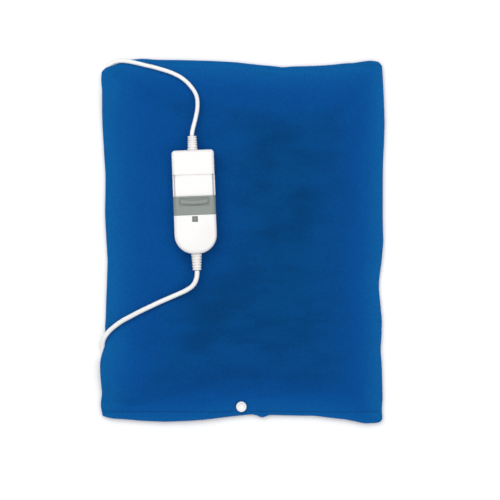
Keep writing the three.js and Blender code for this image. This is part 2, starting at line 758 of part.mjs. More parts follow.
// Screws go in from the back, through bosses of the back shell into bosses of the front shell
const upperScrewSideInset = 10;
const upperScrewInset = 10.5;
const lowerScrewSideInset = 11.5;
const lowerScrewInset = 18.5;
const upperScrewX = caseWidth / 2 - upperScrewSideInset;
const lowerScrewX = caseWidth / 2 - lowerScrewSideInset;
const upperScrewY = caseTop - upperScrewInset;
const lowerScrewY = -caseTop + lowerScrewInset;
const screwPlaces = [
  [-upperScrewX, upperScrewY], [upperScrewX, upperScrewY],
  [-lowerScrewX, lowerScrewY], [lowerScrewX, lowerScrewY],
];
const bossRadius = 4.2;
const screwHeadRadius = 2.8;
const screwHeadHeight = 1.8;
const screwRecess = 2.4;
const screwRadius = 1.4;
const screwDepth = 6.5;
const frontBossRadius = 3.4;
const bossSides = 10;
const screwHole = screwRadius + clearance;
const recessRadius = screwHeadRadius + clearance;

// Where the cords come in: a hole half in each shell, with the strain relief's neck in it
const bootNeckRadius = 3.6;
const reliefHoleRadius = bootNeckRadius + clearance;
function crossHole(y) {
  const geometry = new THREE.CylinderGeometry(reliefHoleRadius, reliefHoleRadius, 4 * caseWall, bossSides);
  geometry.translate(0, y, partingHeight);
  return solidOf(geometry);
}
const reliefHoles = crossHole(caseTop).add(crossHole(-caseTop));

// The lens and its light sit below the track. The board reaches past the track at the cap end, and with a
// narrow tongue under the light and the mains terminal at the other end
const lensOffset = 4.3;
const terminalOffset = 7;
const terminalWidth = 12;
const terminalLength = 8;
const terminalHeight = 7;
const boardWidth = 34;
const boardPastTrack = 8;
const boardShoulderInset = 2;
const boardThickness = 1.6;
const boardHeight = 7;
const tongueEdge = 0.3;
const lensY = trackBottom - lensOffset;
const mainsTerminalY = lensY - terminalOffset;
const boardHigh = trackTop + boardPastTrack;
const boardShoulder = trackBottom + boardShoulderInset;
const boardLow = mainsTerminalY - terminalLength / 2 - tongueEdge;
const tongueHalf = terminalWidth / 2 + tongueEdge;

// Back shell, with posts under the board
const postRadius = 2;
const postInset = 4;

let backShell = outerBlock.subtract(innerBlock);
backShell = part(backShell, -caseLength, caseLength, -overrun, backTop);
for (const [x, y] of screwPlaces) {
  backShell = backShell.add(solidOf(upright(x, y, bossRadius, caseWall / 2, backTop, bossSides)));
  backShell = backShell.subtract(solidOf(upright(x, y, recessRadius, -overrun, screwRecess, bossSides)));
  backShell = backShell.subtract(solidOf(upright(x, y, screwHole, -overrun, above, bossSides)));
}
for (const sideX of [-1, 1]) {
  for (const y of [boardShoulder + postInset, boardHigh - postInset]) {
    const x = sideX * (boardWidth / 2 - postInset);
    const post = upright(x, y, postRadius, caseWall / 2, boardHeight - clearance, bossSides);
    backShell = backShell.add(solidOf(post));
  }
}
backShell = backShell.subtract(reliefHoles);
place("case_back_shell", geometryOf(backShell), finishes.whiteShell, controller);

// Front shell: cap end, recessed track with a slot low in each side, rounded lower end, lens window
const slotHeight = 2;
const lensSide = 5.5;
const lensThickness = 4;
const lensHalf = lensSide / 2;
const windowHalf = lensHalf + clearance;
const grooveRadius = 1;
const grooveLength = 8;

const cavity = innerBlock.subtract(bandInner).add(trackInner);
let frontShell = outerBlock.subtract(bandCut.subtract(trackBlock)).subtract(cavity);
frontShell = part(frontShell, -caseLength, caseLength, frontBase, above);
for (const [x, y] of screwPlaces) {
  const boss = upright(x, y, frontBossRadius, frontBase, caseHeight - caseWall / 2, bossSides);
  frontShell = frontShell.add(solidOf(boss));
  const bore = upright(x, y, screwHole, -overrun, frontBase + screwDepth + clearance, bossSides);
  frontShell = frontShell.subtract(solidOf(bore));
}
const slotCut = block(
  -caseWidth,
  caseWidth,
  trackBottom,
  trackTop,
  frontBase - overrun,
  frontBase + slotHeight,
);
frontShell = frontShell.subtract(solidOf(slotCut));
const windowCut = block(
  -windowHalf,
  windowHalf,
  lensY - windowHalf,
  lensY + windowHalf,
  caseHeight - caseWall - overrun,
  above,
);
frontShell = frontShell.subtract(solidOf(windowCut));
const trackCeiling = caseHeight - trackDepth - caseWall;
for (let station = 0; station < stationCount; station += 1) {
  const groove = new THREE.CylinderGeometry(grooveRadius, grooveRadius, grooveLength, bossSides);
  groove.rotateZ(Math.PI / 2);
  groove.translate(0, saddleMiddle + station * stationPitch, trackCeiling);
  frontShell = frontShell.subtract(solidOf(groove));
}
frontShell = frontShell.subtract(reliefHoles);
place("case_front_shell", geometryOf(frontShell), finishes.whiteShell, controller);

// Slider: a saddle over the track with a bowed finger ridge, and feet that reach in through the side slots
const ridgeLength = 29.5;
const ridgeWidth = 4.4;
const ridgeHeight = 1.6;
const ridgeBow = 1.4;
const ridgeOffset = 4.6;
const ridgeBevel = 0.7;
const ridgeBevelSteps = 2;
const ridgeCurveSteps = 8;
const footLength = 12;
const footThickness = 1.3;
const footReach = 3.2;
const saddleSpace = caseBlock(trackDepth - clearance);
const skirtInside = caseWidth / 2 - trackDepth + clearance;

let saddle = part(
  outerBlock.subtract(saddleSpace),
  saddleLow,
  saddleLow + saddleLength,
  frontBase + clearance / 2,
  above,
);
for (const sideX of [-1, 1]) {
  const near = sideX * (skirtInside - footReach);
  const far = sideX * (skirtInside + clearance);
  const foot = block(
    Math.min(near, far),
    Math.max(near, far),
    saddleMiddle - footLength / 2,
    saddleMiddle + footLength / 2,
    frontBase + clearance / 2,
    frontBase + clearance / 2 + footThickness,
  );
  saddle = saddle.add(solidOf(foot));
}
const ridgeShape = new THREE.Shape();
ridgeShape.moveTo(-ridgeLength / 2, -ridgeWidth / 2);
ridgeShape.quadraticCurveTo(0, -ridgeWidth / 2 - 2 * ridgeBow, ridgeLength / 2, -ridgeWidth / 2);
ridgeShape.lineTo(ridgeLength / 2, ridgeWidth / 2);
ridgeShape.quadraticCurveTo(0, ridgeWidth / 2 - 2 * ridgeBow, -ridgeLength / 2, ridgeWidth / 2);
const ridgeDepth = ridgeHeight + 2 * ridgeBevel;
const ridge = softPull(ridgeShape, ridgeDepth, ridgeBevel, ridgeBevelSteps, ridgeCurveSteps);
ridge.translate(0, saddleMiddle + ridgeOffset, caseHeight - 2 * ridgeBevel);
saddle = saddle.add(solidOf(ridge));
place("slider_saddle", geometryOf(saddle), finishes.greySlider, controller);

// Carrier between the feet, with the contact bridge below it and the detent spring on top
const carrierThickness = 2;
const towerWidth = 10;
const towerHeight = 2.4;
const springThickness = 0.4;
const springWidth = 5;
const springSpan = 9;
const contactThickness = 0.5;
const contactLength = 16;
const contactWidth = 4;
const bridgeWidth = 12;
const bridgeThickness = 0.4;

const carrierHalf = skirtInside - footReach - clearance;
const carrierBase = frontBase + clearance / 2;
const carrierTop = carrierBase + carrierThickness;
const towerTop = carrierTop + towerHeight;
const plate = block(
  -carrierHalf,
  carrierHalf,
  saddleMiddle - footLength / 2,
  saddleMiddle + footLength / 2,
  carrierBase,
  carrierTop,
);
const tower = block(
  -towerWidth / 2,
  towerWidth / 2,
  saddleMiddle - towerWidth / 2,
  saddleMiddle + towerWidth / 2,
  carrierTop - clearance,
  towerTop,
);
const carrier = solidOf(plate).add(solidOf(tower));
place("slider_carrier", geometryOf(carrier), finishes.innerPlastic, controller);

// A bent strip: an arch seen from the side, with its feet at one height and its crest at another
function bentStrip(width, span, footZ, crestZ, thickness) {
  const half = span / 2;
  const side = [[-half, footZ], [-half / 3, crestZ], [half / 3, crestZ], [half, footZ]];
  const lower = side.map(([along, height]) => [along, height]);
  const upper = side.map(([along, height]) => [along, height + thickness]).reverse();
  const geometry = pulled([...lower, ...upper], width);
  geometry.translate(0, 0, -width / 2);
  geometry.rotateX(Math.PI / 2);
  geometry.rotateZ(Math.PI / 2);
  geometry.translate(0, saddleMiddle, 0);
  return geometry;
}

const detentCrest = trackCeiling - clearance - springThickness;
const detentSpring = bentStrip(springWidth, springSpan, towerTop + clearance, detentCrest, springThickness);
place("detent_spring", detentSpring, finishes.steel, controller);

const boardTop = boardHeight + boardThickness;
const contactTop = boardTop + clearance + contactThickness;
const bridgeFeet = carrierBase - clearance - bridgeThickness;
const bridge = bentStrip(bridgeWidth, springSpan, bridgeFeet, contactTop + clearance, bridgeThickness);
place("contact_bridge", bridge, finishes.brass, controller);

// Circuit board and what stands on it
const boardHalf = boardWidth / 2;
const board = pulled(
  [
    [-tongueHalf, boardLow], [tongueHalf, boardLow], [tongueHalf, boardShoulder],
    [boardHalf, boardShoulder], [boardHalf, boardHigh], [-boardHalf, boardHigh],
    [-boardHalf, boardShoulder], [-tongueHalf, boardShoulder],
  ],
  boardThickness,
);
board.translate(0, 0, boardHeight);
place("circuit_board", board, finishes.board, controller);
const partBase = boardTop + clearance;
for (let station = 0; station < stationCount; station += 1) {
  const y = saddleMiddle + station * stationPitch;
  const contact = block(
    -contactLength / 2,
    contactLength / 2,
    y - contactWidth / 2,
    y + contactWidth / 2,
    partBase,
    contactTop,
  );
  place(`fixed_contact_${station}`, contact, finishes.brass, controller);
}

const lightRadius = 1.5;
const lightSides = 12;
const lensBase = caseHeight - lensThickness;
const light = upright(0, lensY, lightRadius, partBase, lensBase - clearance, lightSides);
place("indicator_light", light, finishes.lens, controller);
const lens = block(-lensHalf, lensHalf, lensY - lensHalf, lensY + lensHalf, lensBase, caseHeight);
place("indicator_lens", lens, finishes.lens, controller);

// Fuse and diode lie along the board beside the pad terminal; a terminal block holds each cord's wires
const fuseRadius = 1.8;
const fuseLength = 10;
const diodeRadius = 2;
const diodeLength = 8;
const rolledPartEdge = 5;
const rolledPartSides = 12;

function rolledPart(name, radius, length, side) {
  const geometry = new THREE.CylinderGeometry(radius, radius, length, rolledPartSides);
  geometry.translate(side * (boardHalf - rolledPartEdge), boardHigh - terminalOffset, partBase + radius);
  place(name, geometry, finishes.innerPlastic, controller);
}
rolledPart("thermal_fuse", fuseRadius, fuseLength, -1);
rolledPart("half_wave_diode", diodeRadius, diodeLength, 1);
const padTerminalY = boardHigh - terminalLength;
for (const [name, y] of [["pad_terminal", padTerminalY], ["mains_terminal", mainsTerminalY]]) {
  const terminal = block(
    -terminalWidth / 2,
    terminalWidth / 2,
    y - terminalLength / 2,
    y + terminalLength / 2,
    partBase,
    partBase + terminalHeight,
  );
  place(name, terminal, finishes.innerPlastic, controller);
}

// Screws
const screwTop = frontBase + screwDepth;
const headBase = screwRecess - clearance - screwHeadHeight;
const screwSides = 12;
screwPlaces.forEach(([x, y], index) => {
  const geometry = turned(
    [
      [0, headBase], [screwHeadRadius, headBase], [screwHeadRadius, headBase + screwHeadHeight],
      [screwRadius, headBase + screwHeadHeight], [screwRadius, screwTop], [0, screwTop],
    ],
    screwSides,
  );
  geometry.rotateX(Math.PI / 2);
  geometry.translate(x, y, 0);
  place(`case_screw_${index + 1}`, geometry, finishes.steel, controller);
});

// Strain reliefs: a flange inside the case, a neck through its end wall, then the ribbed taper
const flangeRadius = 6;
const flangeThickness = 1.6;

function caseRelief(name, baseRadius, tipRadius, length, setback, end) {
  const boot = ribbedBoot(baseRadius, tipRadius, length);
  boot.translate(0, caseTop + clearance, 0);
  const neckLow = caseTop - caseWall - clearance - flangeThickness - setback;
  const neck = new THREE.CylinderGeometry(bootNeckRadius, bootNeckRadius, 1, bossSides);
  neck.scale(1, caseTop + 2 * clearance - neckLow, 1);
  neck.translate(0, (caseTop + 2 * clearance + neckLow) / 2, 0);
  const flange = new THREE.CylinderGeometry(flangeRadius, flangeRadius, flangeThickness, bossSides);
  flange.translate(0, neckLow + flangeThickness / 2, 0);
  const solid = solidOf(boot).add(solidOf(neck)).add(solidOf(flange));
  const geometry = geometryOf(solid);
  if (end < 0) geometry.rotateZ(Math.PI);
  geometry.translate(0, 0, partingHeight);
  place(name, geometry, finishes.whiteShell, controller);
}
const padReliefRadius = 5.5;
const padReliefTip = 4.75;
const padReliefLength = 15;
const mainsReliefRadius = 5.75;
const mainsReliefTip = 4.65;
const mainsReliefLength = 17.5;
const roundEndSetback = 2.4;
caseRelief("pad_lead_relief", padReliefRadius, padReliefTip, padReliefLength, 0, 1);
caseRelief("mains_lead_relief", mainsReliefRadius, mainsReliefTip, mainsReliefLength, roundEndSetback, -1);

// Free stretches of cord
const cordStepDiameters = 2.5;
const cordSides = 8;

function cordTube(name, route, diameter) {
  const points = route.map((point) => new THREE.Vector3(...point));
  const curve = new THREE.CatmullRomCurve3(points, false, "centripetal");
  const corners = Array.from({ length: cordSides }, (_, side) => {
    const angle = (2 * Math.PI * (side + 1 / 2)) / cordSides;
    return new THREE.Vector2(Math.cos(angle), Math.sin(angle)).multiplyScalar(diameter / 2);
  });
  const section = new THREE.Shape(corners);
  const length = curve.getLength();
  const steps = Math.ceil(length / (cordStepDiameters * diameter));
  const geometry = new THREE.ExtrudeGeometry(section, { steps, extrudePath: curve, bevelEnabled: false });
  place(name, geometry, finishes.whiteCord);
  return length;
}

const padLeadLength = cordTube("pad_lead", padLeadRoute, padLeadDiameter);
const mainsFrontLength = cordTube("mains_lead", mainsLeadRoute, mainsDiameter);
const plugLeadLength = cordTube("mains_lead_tail", plugLeadRoute, mainsDiameter);

// The spare mains lead: two layers of loops, spiralling in, up in the half turn where it reverses, and out
const coilSteps = 24;
const coilSides = 6;
const coilBase = mainsDiameter / 2 + tieThickness + clearance;
const reverseTurns = 1 / 2;
const coilInnerRadius = coilOuterRadius - coilPitch * coilTurnsPerLayer;
const coilTurns = 2 * coilTurnsPerLayer + reverseTurns;

function coilPoint(turn) {
  const reverseStart = coilTurnsPerLayer;
  const reverseMiddle = reverseStart + reverseTurns / 2;
  const fromMiddle = Math.abs(turn - reverseMiddle);
  const radius = coilInnerRadius + coilPitch * (fromMiddle - reverseTurns / 2);
  const climb = eased((turn - reverseStart) / reverseTurns);
  const angle = (turn - 1 / 4) * 2 * Math.PI;
  return new THREE.Vector3(
    coilX + radius * Math.cos(angle),
    coilY + radius * Math.sin(angle),
    coilBase + coilPitch * climb,
  );
}

const coilRings = Math.ceil(coilTurns * coilSteps);
const coilPoints = Array.from({ length: coilRings + 1 }, (_, ring) =>
  coilPoint((ring / coilRings) * coilTurns),
);
place("mains_lead_coil", sweptTube(coilPoints, mainsDiameter / 2, coilSides), finishes.whiteCord);

// The least gap between one turn of the coil and another, on points finer than its rings
function coilGap() {
  const samplesPerTurn = 96;
  const points = Array.from({ length: Math.ceil(coilTurns * samplesPerTurn) }, (_, index) =>
    coilPoint(index / samplesPerTurn),
  );
  let least = Infinity;
  for (let first = 0; first < points.length; first += 1) {
    for (let second = first + samplesPerTurn / 2; second < points.length; second += 1) {
      least = Math.min(least, points[first].distanceTo(points[second]));
    }
  }
  return least - mainsDiameter;
}

let coilLength = 0;
for (let ring = 1; ring < coilPoints.length; ring += 1) {
  coilLength += coilPoints[ring].distanceTo(coilPoints[ring - 1]);
}
console.log(`coil: least gap to itself ${coilGap().toFixed(2)} mm`);
console.log(`coil: ${coilTurns} turns, ${coilLength.toFixed(0)} mm of lead`);
console.log(`pad lead ${padLeadLength.toFixed(0)} mm`);
const mainsLength = mainsFrontLength + coilLength + plugLeadLength;
console.log(`mains lead ${mainsLength.toFixed(0)} mm (front ${mainsFrontLength.toFixed(0)})`);

// A tie round the coil's turns
const tieWidth = 9;
const tieTurn = 150;
const tieMargin = clearance;
const tieInner = coilInnerRadius - coilPitch * reverseTurns - mainsDiameter / 2 - tieMargin;
const tieOuter = coilOuterRadius + mainsDiameter / 2 + tieMargin + tieThickness;
const tieLow = coilBase - mainsDiameter / 2 - tieMargin;
const tieHigh = coilBase + coilPitch + mainsDiameter / 2 + tieMargin;
function loopOutline(grow) {
  return [
    [tieInner - grow, tieLow - grow],
    [tieOuter + grow, tieLow - grow],
    [tieOuter + grow, tieHigh + grow],
    [tieInner - grow, tieHigh + grow],
  ];
}
const tieOpening = pulled(loopOutline(0), 2 * tieWidth);
tieOpening.translate(0, 0, -tieWidth / 2);
const tieSolid = solidOf(pulled(loopOutline(tieThickness), tieWidth)).subtract(solidOf(tieOpening));
const tie = geometryOf(tieSolid);
tie.translate(0, 0, -tieWidth / 2);
tie.rotateX(Math.PI / 2);
tie.rotateZ(tieTurn * degree);
tie.translate(coilX, coilY, 0);
place("coil_tie", tie, finishes.innerPlastic);

// Two-pin plug, lying on its flat side: +Y is the way the pins point
const plugX = 5;
const plugY = 59;
const plugRound = 3;
const plugTaper = 11;
const plugReliefRadius = 5;
const plugReliefTip = 3.8;
const plugReliefLength = 24;
const plugRoundSteps = 3;
const plugCurveSteps = 6;
const pinDepth = 9;
const pinSides = 12;
const pinHoleSides = 16;
const pinTipRadius = 1.2;
const plug = new THREE.Group();
plug.position.set(plugX, plugY, plugThickness / 2);
model.add(plug);

const plugHalf = plugWidth / 2;
const plugShape = new THREE.Shape();
plugShape.moveTo(-plugTaper, 0);
plugShape.lineTo(plugTaper, 0);
plugShape.quadraticCurveTo(plugHalf, plugLength / 4, plugHalf, plugLength / 2);
plugShape.lineTo(plugHalf - plugRound / 2, plugLength);
plugShape.lineTo(-plugHalf + plugRound / 2, plugLength);
plugShape.lineTo(-plugHalf, plugLength / 2);
plugShape.quadraticCurveTo(-plugHalf, plugLength / 4, -plugTaper, 0);
const plugBlock = softPull(plugShape, plugThickness, plugRound, plugRoundSteps, plugCurveSteps);
plugBlock.translate(0, 0, -plugThickness / 2);
let plugBody = solidOf(plugBlock);
const pinRadius = pinDiameter / 2;
for (const side of [-1, 1]) {
  const holeRadius = pinRadius + clearance;
  const holeDepth = pinDepth + overrun;
  const hole = new THREE.CylinderGeometry(holeRadius, holeRadius, holeDepth, pinHoleSides);
  hole.translate((side * pinSpacing) / 2, plugLength - pinDepth + holeDepth / 2, 0);
  plugBody = plugBody.subtract(solidOf(hole));
}
place("plug_body", geometryOf(plugBody), finishes.whiteCord, plug);
[-1, 1].forEach((side, index) => {
  const pin = turned(
    [
      [0, clearance - pinDepth], [pinRadius, clearance - pinDepth], [pinRadius, pinLength - pinTipRadius],
      [pinRadius - pinTipRadius, pinLength], [0, pinLength],
    ],
    pinSides,
  );
  pin.translate((side * pinSpacing) / 2, plugLength, 0);
  place(`plug_pin_${index + 1}`, pin, finishes.steel, plug);
});
const plugRelief = ribbedBoot(plugReliefRadius, plugReliefTip, plugReliefLength);
plugRelief.rotateZ(Math.PI);
plugRelief.translate(0, -clearance, 0);
place("plug_relief", plugRelief, finishes.whiteCord, plug);

export default model;
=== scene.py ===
"""Dresses the heating pad: cloth cover, padding, slide controller, cords, press stud and plug."""

import logging
import math
from collections.abc import Callable, Iterator
from contextlib import contextmanager
from dataclasses import dataclass, field
from enum import Enum

import bmesh
import bpy
import numpy as np
from mathutils import Matrix, Vector, noise
from mathutils.bvhtree import BVHTree


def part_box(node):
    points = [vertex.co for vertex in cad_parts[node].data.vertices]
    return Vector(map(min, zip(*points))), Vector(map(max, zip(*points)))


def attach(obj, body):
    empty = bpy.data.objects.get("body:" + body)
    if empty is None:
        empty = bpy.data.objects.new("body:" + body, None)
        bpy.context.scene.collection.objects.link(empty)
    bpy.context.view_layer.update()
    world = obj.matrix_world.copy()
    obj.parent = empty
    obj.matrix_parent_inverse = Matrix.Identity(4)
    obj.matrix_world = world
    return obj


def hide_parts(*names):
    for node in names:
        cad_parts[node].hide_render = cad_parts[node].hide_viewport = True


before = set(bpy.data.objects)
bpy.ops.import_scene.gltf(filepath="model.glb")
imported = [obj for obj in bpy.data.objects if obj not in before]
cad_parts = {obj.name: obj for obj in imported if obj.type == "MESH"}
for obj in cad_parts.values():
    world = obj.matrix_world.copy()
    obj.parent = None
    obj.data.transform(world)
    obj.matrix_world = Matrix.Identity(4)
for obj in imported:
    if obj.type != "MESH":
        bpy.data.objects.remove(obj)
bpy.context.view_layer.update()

log = logging.getLogger("heating_pad")

Piece = bpy.types.Object
Tree = bpy.types.NodeTree
Socket = bpy.types.NodeSocket
Sockets = tuple[Socket, Socket, Socket]
Place = tuple[float, float, float]
Curve = tuple[tuple[float, float], ...]
EdgeTest = Callable[[Vector, Vector], bool]

MM = 0.001
# How near two places lie that count as one, in millimetres
SAME = 0.01
CASE_BODY = "pad_and_case"
SLIDER_BODY = "heat_slider"

# On the floor plan, in millimetres
CASE_X, CASE_Y = -52.0, 42.5
STUD_X, STUD_Y = -1.1, -181.5

PAD_LEAD_ROUTE = (
    (-54.71, 114.6, 39.3), (-54.75, 116.8, 39.3), (-54.0, 121.2, 38.9), (-51.8, 130.0, 37.2),
    (-50.3, 136.5, 35.0), (-49.2, 143.1, 32.0), (-48.9, 149.7, 28.2), (-49.5, 156.3, 24.2),
    (-52.0, 162.8, 20.6), (-56.6, 169.4, 17.6), (-63.1, 176.0, 15.2), (-73.5, 182.5, 12.6),
    (-92.2, 189.1, 9.9), (-106.2, 192.6, 8.4), (-119.2, 195.7, 7.2), (-128.1, 197.2, 6.9),
    (-133.9, 197.4, 6.4), (-140.1, 196.3, 5.3), (-146.4, 192.3, 3.9), (-150.2, 186.3, 2.9),
    (-151.6, 179.4, 2.4), (-151.3, 171.6, 2.3), (-148.5, 163.0, 2.3), (-142.0, 154.5, 2.3),
    (-132.0, 147.0, 2.3), (-120.0, 139.0, 2.3), (-108.0, 130.0, 2.7), (-97.5, 122.6, 4.9),
    (-90.0, 119.2, 7.7), (-84.8, 118.1, 9.5), (-80.3, 118.0, 9.9),
)
MAINS_LEAD_ROUTE = (
    (-49.2, -32.1, 39.3), (-49.12, -34.6, 39.3), (-50.2, -41.6, 38.4), (-53.2, -47.6, 36.6),
    (-59.8, -52.9, 34.4), (-69.4, -57.6, 32.0), (-80.0, -62.2, 30.3), (-90.5, -66.8, 29.0),
    (-100.5, -71.5, 26.6), (-111.9, -77.0, 22.6), (-122.4, -82.5, 18.6), (-132.2, -87.9, 15.0),
    (-139.8, -93.4, 12.2), (-146.0, -98.9, 10.2), (-150.3, -104.4, 9.0), (-152.7, -109.8, 7.3),
    (-153.4, -115.3, 4.9), (-153.2, -120.8, 3.2), (-152.0, -127.5, 2.7), (-149.2, -136.2, 2.6),
    (-142.6, -145.2, 2.6), (-131.5, -151.2, 2.6), (-116.5, -152.2, 2.6), (-97.0, -146.5, 2.6),
    (-76.0, -134.0, 2.8), (-60.0, -122.5, 3.2), (-44.5, -114.0, 3.5), (-24.2, -111.3, 3.5),
)
PLUG_LEAD_ROUTE = (
    (14.45, -57.9, 9.4), (12.4, -51.4, 9.2), (9.7, -41.0, 7.4), (7.6, -30.0, 4.6),
    (6.2, -18.0, 2.8), (5.4, -6.0, 2.6), (5.0, 6.0, 2.8), (5.0, 17.0, 4.4),
    (5.0, 26.0, 6.3), (5.0, 31.0, 6.85), (5.0, 34.4, 6.85),
)


class Slot(Enum):
    """Material slots of the record."""

    COVER_CLOTH = "cover_cloth"
    PADDING = "padding"
    HEATING_WIRE = "heating_wire"
    WHITE_SHELL = "white_shell"
    GREY_SLIDER = "grey_slider"
    INDICATOR_LENS = "indicator_lens"
    INNER_PLASTIC = "inner_plastic"
    CIRCUIT_BOARD = "circuit_board"
    CONTACT_METAL = "contact_metal"
    STEEL = "steel"
    WHITE_CORD = "white_cord"


class Cut(Enum):
    """What a second solid does to the first one."""

    TAKE_AWAY = "DIFFERENCE"
    ADD = "UNION"
    KEEP_COMMON = "INTERSECT"


class Grain(Enum):
    """How a surface was made, which sets the form of its fine relief."""

    SPARK = "spark eroded mould"
    FIBRE = "matted fibres"
    DRAWN = "drawn or turned metal"

    @property
    def detail(self) -> float:
        """Gives how finely the relief is broken up."""
        return 6.0 if self is Grain.FIBRE else 2.0


# Finishes


def linear(code: str) -> tuple[float, float, float, float]:
    """Turns an sRGB hex colour to linear light.

    Args:
        code: The colour as six hex digits.

    Returns:
        Linear red, green, blue and full opacity.
    """
    shares = [int(code[at:at + 2], 16) / 255 for at in (0, 2, 4)]
    red, green, blue = (
        share / 12.92 if share <= 0.04045 else ((share + 0.055) / 1.055) ** 2.4 for share in shares
    )
    return red, green, blue, 1.0


def add_node(
    tree: Tree, kind: str, inputs: dict | None = None, output: int | str = 0, **settings: object
) -> Socket | None:
    """Adds one node to a tree.

    Args:
        tree: The node tree.
        kind: The node's type name.
        inputs: Socket names or numbers, each with a value or with the socket that feeds it.
        output: The name or number of the output that is handed back.
        **settings: The node's own settings.

    Returns:
        That output, or nothing for a node that has none.
    """
    node = tree.nodes.new(kind)
    for name, value in settings.items():
        setattr(node, name, value)
    for socket, value in (inputs or {}).items():
        if isinstance(value, Socket):
            tree.links.new(value, node.inputs[socket])
        else:
            node.inputs[socket].default_value = value
    return node.outputs[output] if node.outputs else None


@dataclass(frozen=True)
class Finish:
    """A finish with a slow drift of tone, a fine grain in relief and a drift of gloss."""

    name: str
    slot: Slot
    colour: str
    second_colour: str
    roughness: float
    roughness_drift: float
    drift_size: float
    grain_size: float
    grain_depth: float
    grain: Grain = Grain.SPARK
    shader: dict = field(default_factory=dict, hash=False)
    gloss_span: tuple[float, float] = (0.3, 0.7)
    drawn_stretch: float = 12.0

    def build(self) -> bpy.types.Material:
        """Makes the material.

        Returns:
            The material, with its nodes linked.
        """
        material = bpy.data.materials.new(self.name)
        material.use_nodes = True
        tree = material.node_tree
        tree.nodes.clear()
        colour, gloss, height = self.pattern(tree, add_node(tree, "ShaderNodeTexCoord", output="Object"))
        dull = {
            "Value": gloss,
            "From Min": self.gloss_span[0],
            "From Max": self.gloss_span[1],
            "To Min": self.roughness - self.roughness_drift,
            "To Max": self.roughness + self.roughness_drift,
        }
        relief = {"Height": height, "Distance": self.grain_depth * MM, "Strength": 1.0}
        surface = {
            "Base Color": colour,
            "Roughness": add_node(tree, "ShaderNodeMapRange", dull),
            "Normal": add_node(tree, "ShaderNodeBump", relief),
            **self.shader,
        }
        shader = add_node(tree, "ShaderNodeBsdfPrincipled", surface)
        add_node(tree, "ShaderNodeOutputMaterial", {"Surface": shader})
        return material

    def pattern(self, tree: Tree, place: Socket) -> Sockets:
        """Adds the nodes of the finish's own pattern.

        Args:
            tree: The material's node tree.
            place: The socket with the place on the piece, in metres.

        Returns:
            The sockets of colour, gloss and height.
        """
        stretch = (1.0, self.drawn_stretch if self.grain is Grain.DRAWN else 1.0, 1.0)
        laid = add_node(tree, "ShaderNodeMapping", {"Vector": place, "Scale": stretch})
        drift, grain = (
            add_node(tree, "ShaderNodeTexNoise", {"Scale": 1 / (size * MM), **inputs})
            for size, inputs in (
                (self.drift_size, {"Vector": place, "Detail": 3.0}),
                (self.grain_size, {"Vector": laid, "Detail": self.grain.detail, "Roughness": 0.65}),
            )
        )
        mixed = {0: drift, 6: linear(self.colour), 7: linear(self.second_colour)}
        return add_node(tree, "ShaderNodeMix", mixed, 2, data_type="RGBA"), drift, grain


@dataclass(frozen=True)
class BrushedCloth(Finish):
    """Brushed polyester knit: short matted nap over fine ribs of thread, with painted light that makes it
    paler towards its edges.

    Its drift of tone is made of patches that lie across the pad and rise a little to the right.
    """

    gloss_span: tuple[float, float] = (0.0, 1.0)
    # Painted light: a paler blue towards the edges and round the controller, and a painted highlight along
    # the rolled rim
    painted_light_colour: str = "064E98"
    painted_rim_highlight_colour: str = "0C5D9D"
    rim_highlight_power: float = 14.0
    thread_spacing: float = 0.9
    rib_share: float = 0.35
    nap_size: float = 2.2
    patch_height: float = 21.0
    patch_slant: float = -9.0

    def pattern(self, tree: Tree, place: Socket) -> Sockets:
        """Adds the nodes of nap, threads, drift of tone and the painted light towards the edges.

        Args:
            tree: The material's node tree.
            place: The socket with the place on the piece, in metres.

        Returns:
            The sockets of colour, gloss and height.
        """
        across, along = 1 / (self.drift_size * MM), 1 / (self.patch_height * MM)
        slant = (0.0, 0.0, math.radians(self.patch_slant))
        lying = add_node(
            tree, "ShaderNodeMapping", {"Vector": place, "Rotation": slant, "Scale": (across, along, across)}
        )
        drift, nap, fibre = (
            add_node(
                tree, "ShaderNodeTexNoise",
                {"Vector": over, "Scale": scale, "Detail": detail, "Roughness": roughness},
            )
            for over, scale, detail, roughness in (
                (lying, 1.0, 2.0, 0.45),
                (place, 1 / (self.nap_size * MM), 5.0, 0.6),
                (place, 1 / (self.grain_size * MM), 4.0, 0.7),
            )
        )
        # The threads are really 0.4 mm apart: they are drawn coarser to show
        threads = {
            "Vector": place,
            "Scale": 1 / (self.thread_spacing * MM * 2 * math.pi),
            "Distortion": 1.2,
            "Detail": 1.0,
            "Detail Scale": 2.0,
        }
        ribs = add_node(tree, "ShaderNodeTexWave", threads, "Fac", wave_type="BANDS", bands_direction="X")
        drifted = add_node(tree, "ShaderNodeMapRange", {"Value": drift, "From Min": 0.35, "From Max": 0.65})
        # Painted light: the share read here makes the cloth paler towards its edges and round the controller,
        # and its high power paints a highlight on the rolled rim
        painted_light = add_node(tree, "ShaderNodeAttribute", output="Fac", attribute_name="painted_light_share")
        rim = add_node(tree, "ShaderNodeMath", {0: painted_light, 1: self.rim_highlight_power}, operation="POWER")
        colour = linear(self.colour)
        for share, second in (
            (drifted, self.second_colour), (painted_light, self.painted_light_colour), (rim, self.painted_rim_highlight_colour)
        ):
            mixed = {0: share, 6: colour, 7: linear(second)}
            colour = add_node(tree, "ShaderNodeMix", mixed, 2, data_type="RGBA")
        # Painted shade: the colour is darker where the nap lies low and lighter where it stands up, following
        # the noise that also raises the nap
        painted_nap_shade = {"Value": nap, "From Min": 0.3, "From Max": 0.7, "To Min": 0.86, "To Max": 1.1}
        depth = add_node(tree, "ShaderNodeMapRange", painted_nap_shade)
        colour = add_node(tree, "ShaderNodeVectorMath", {0: colour, "Scale": depth}, operation="SCALE")
        matted = add_node(tree, "ShaderNodeMath", {0: fibre, 1: nap}, operation="ADD")
        relief = {0: ribs, 1: self.rib_share, 2: matted}
        return colour, nap, add_node(tree, "ShaderNodeMath", relief, operation="MULTIPLY_ADD")


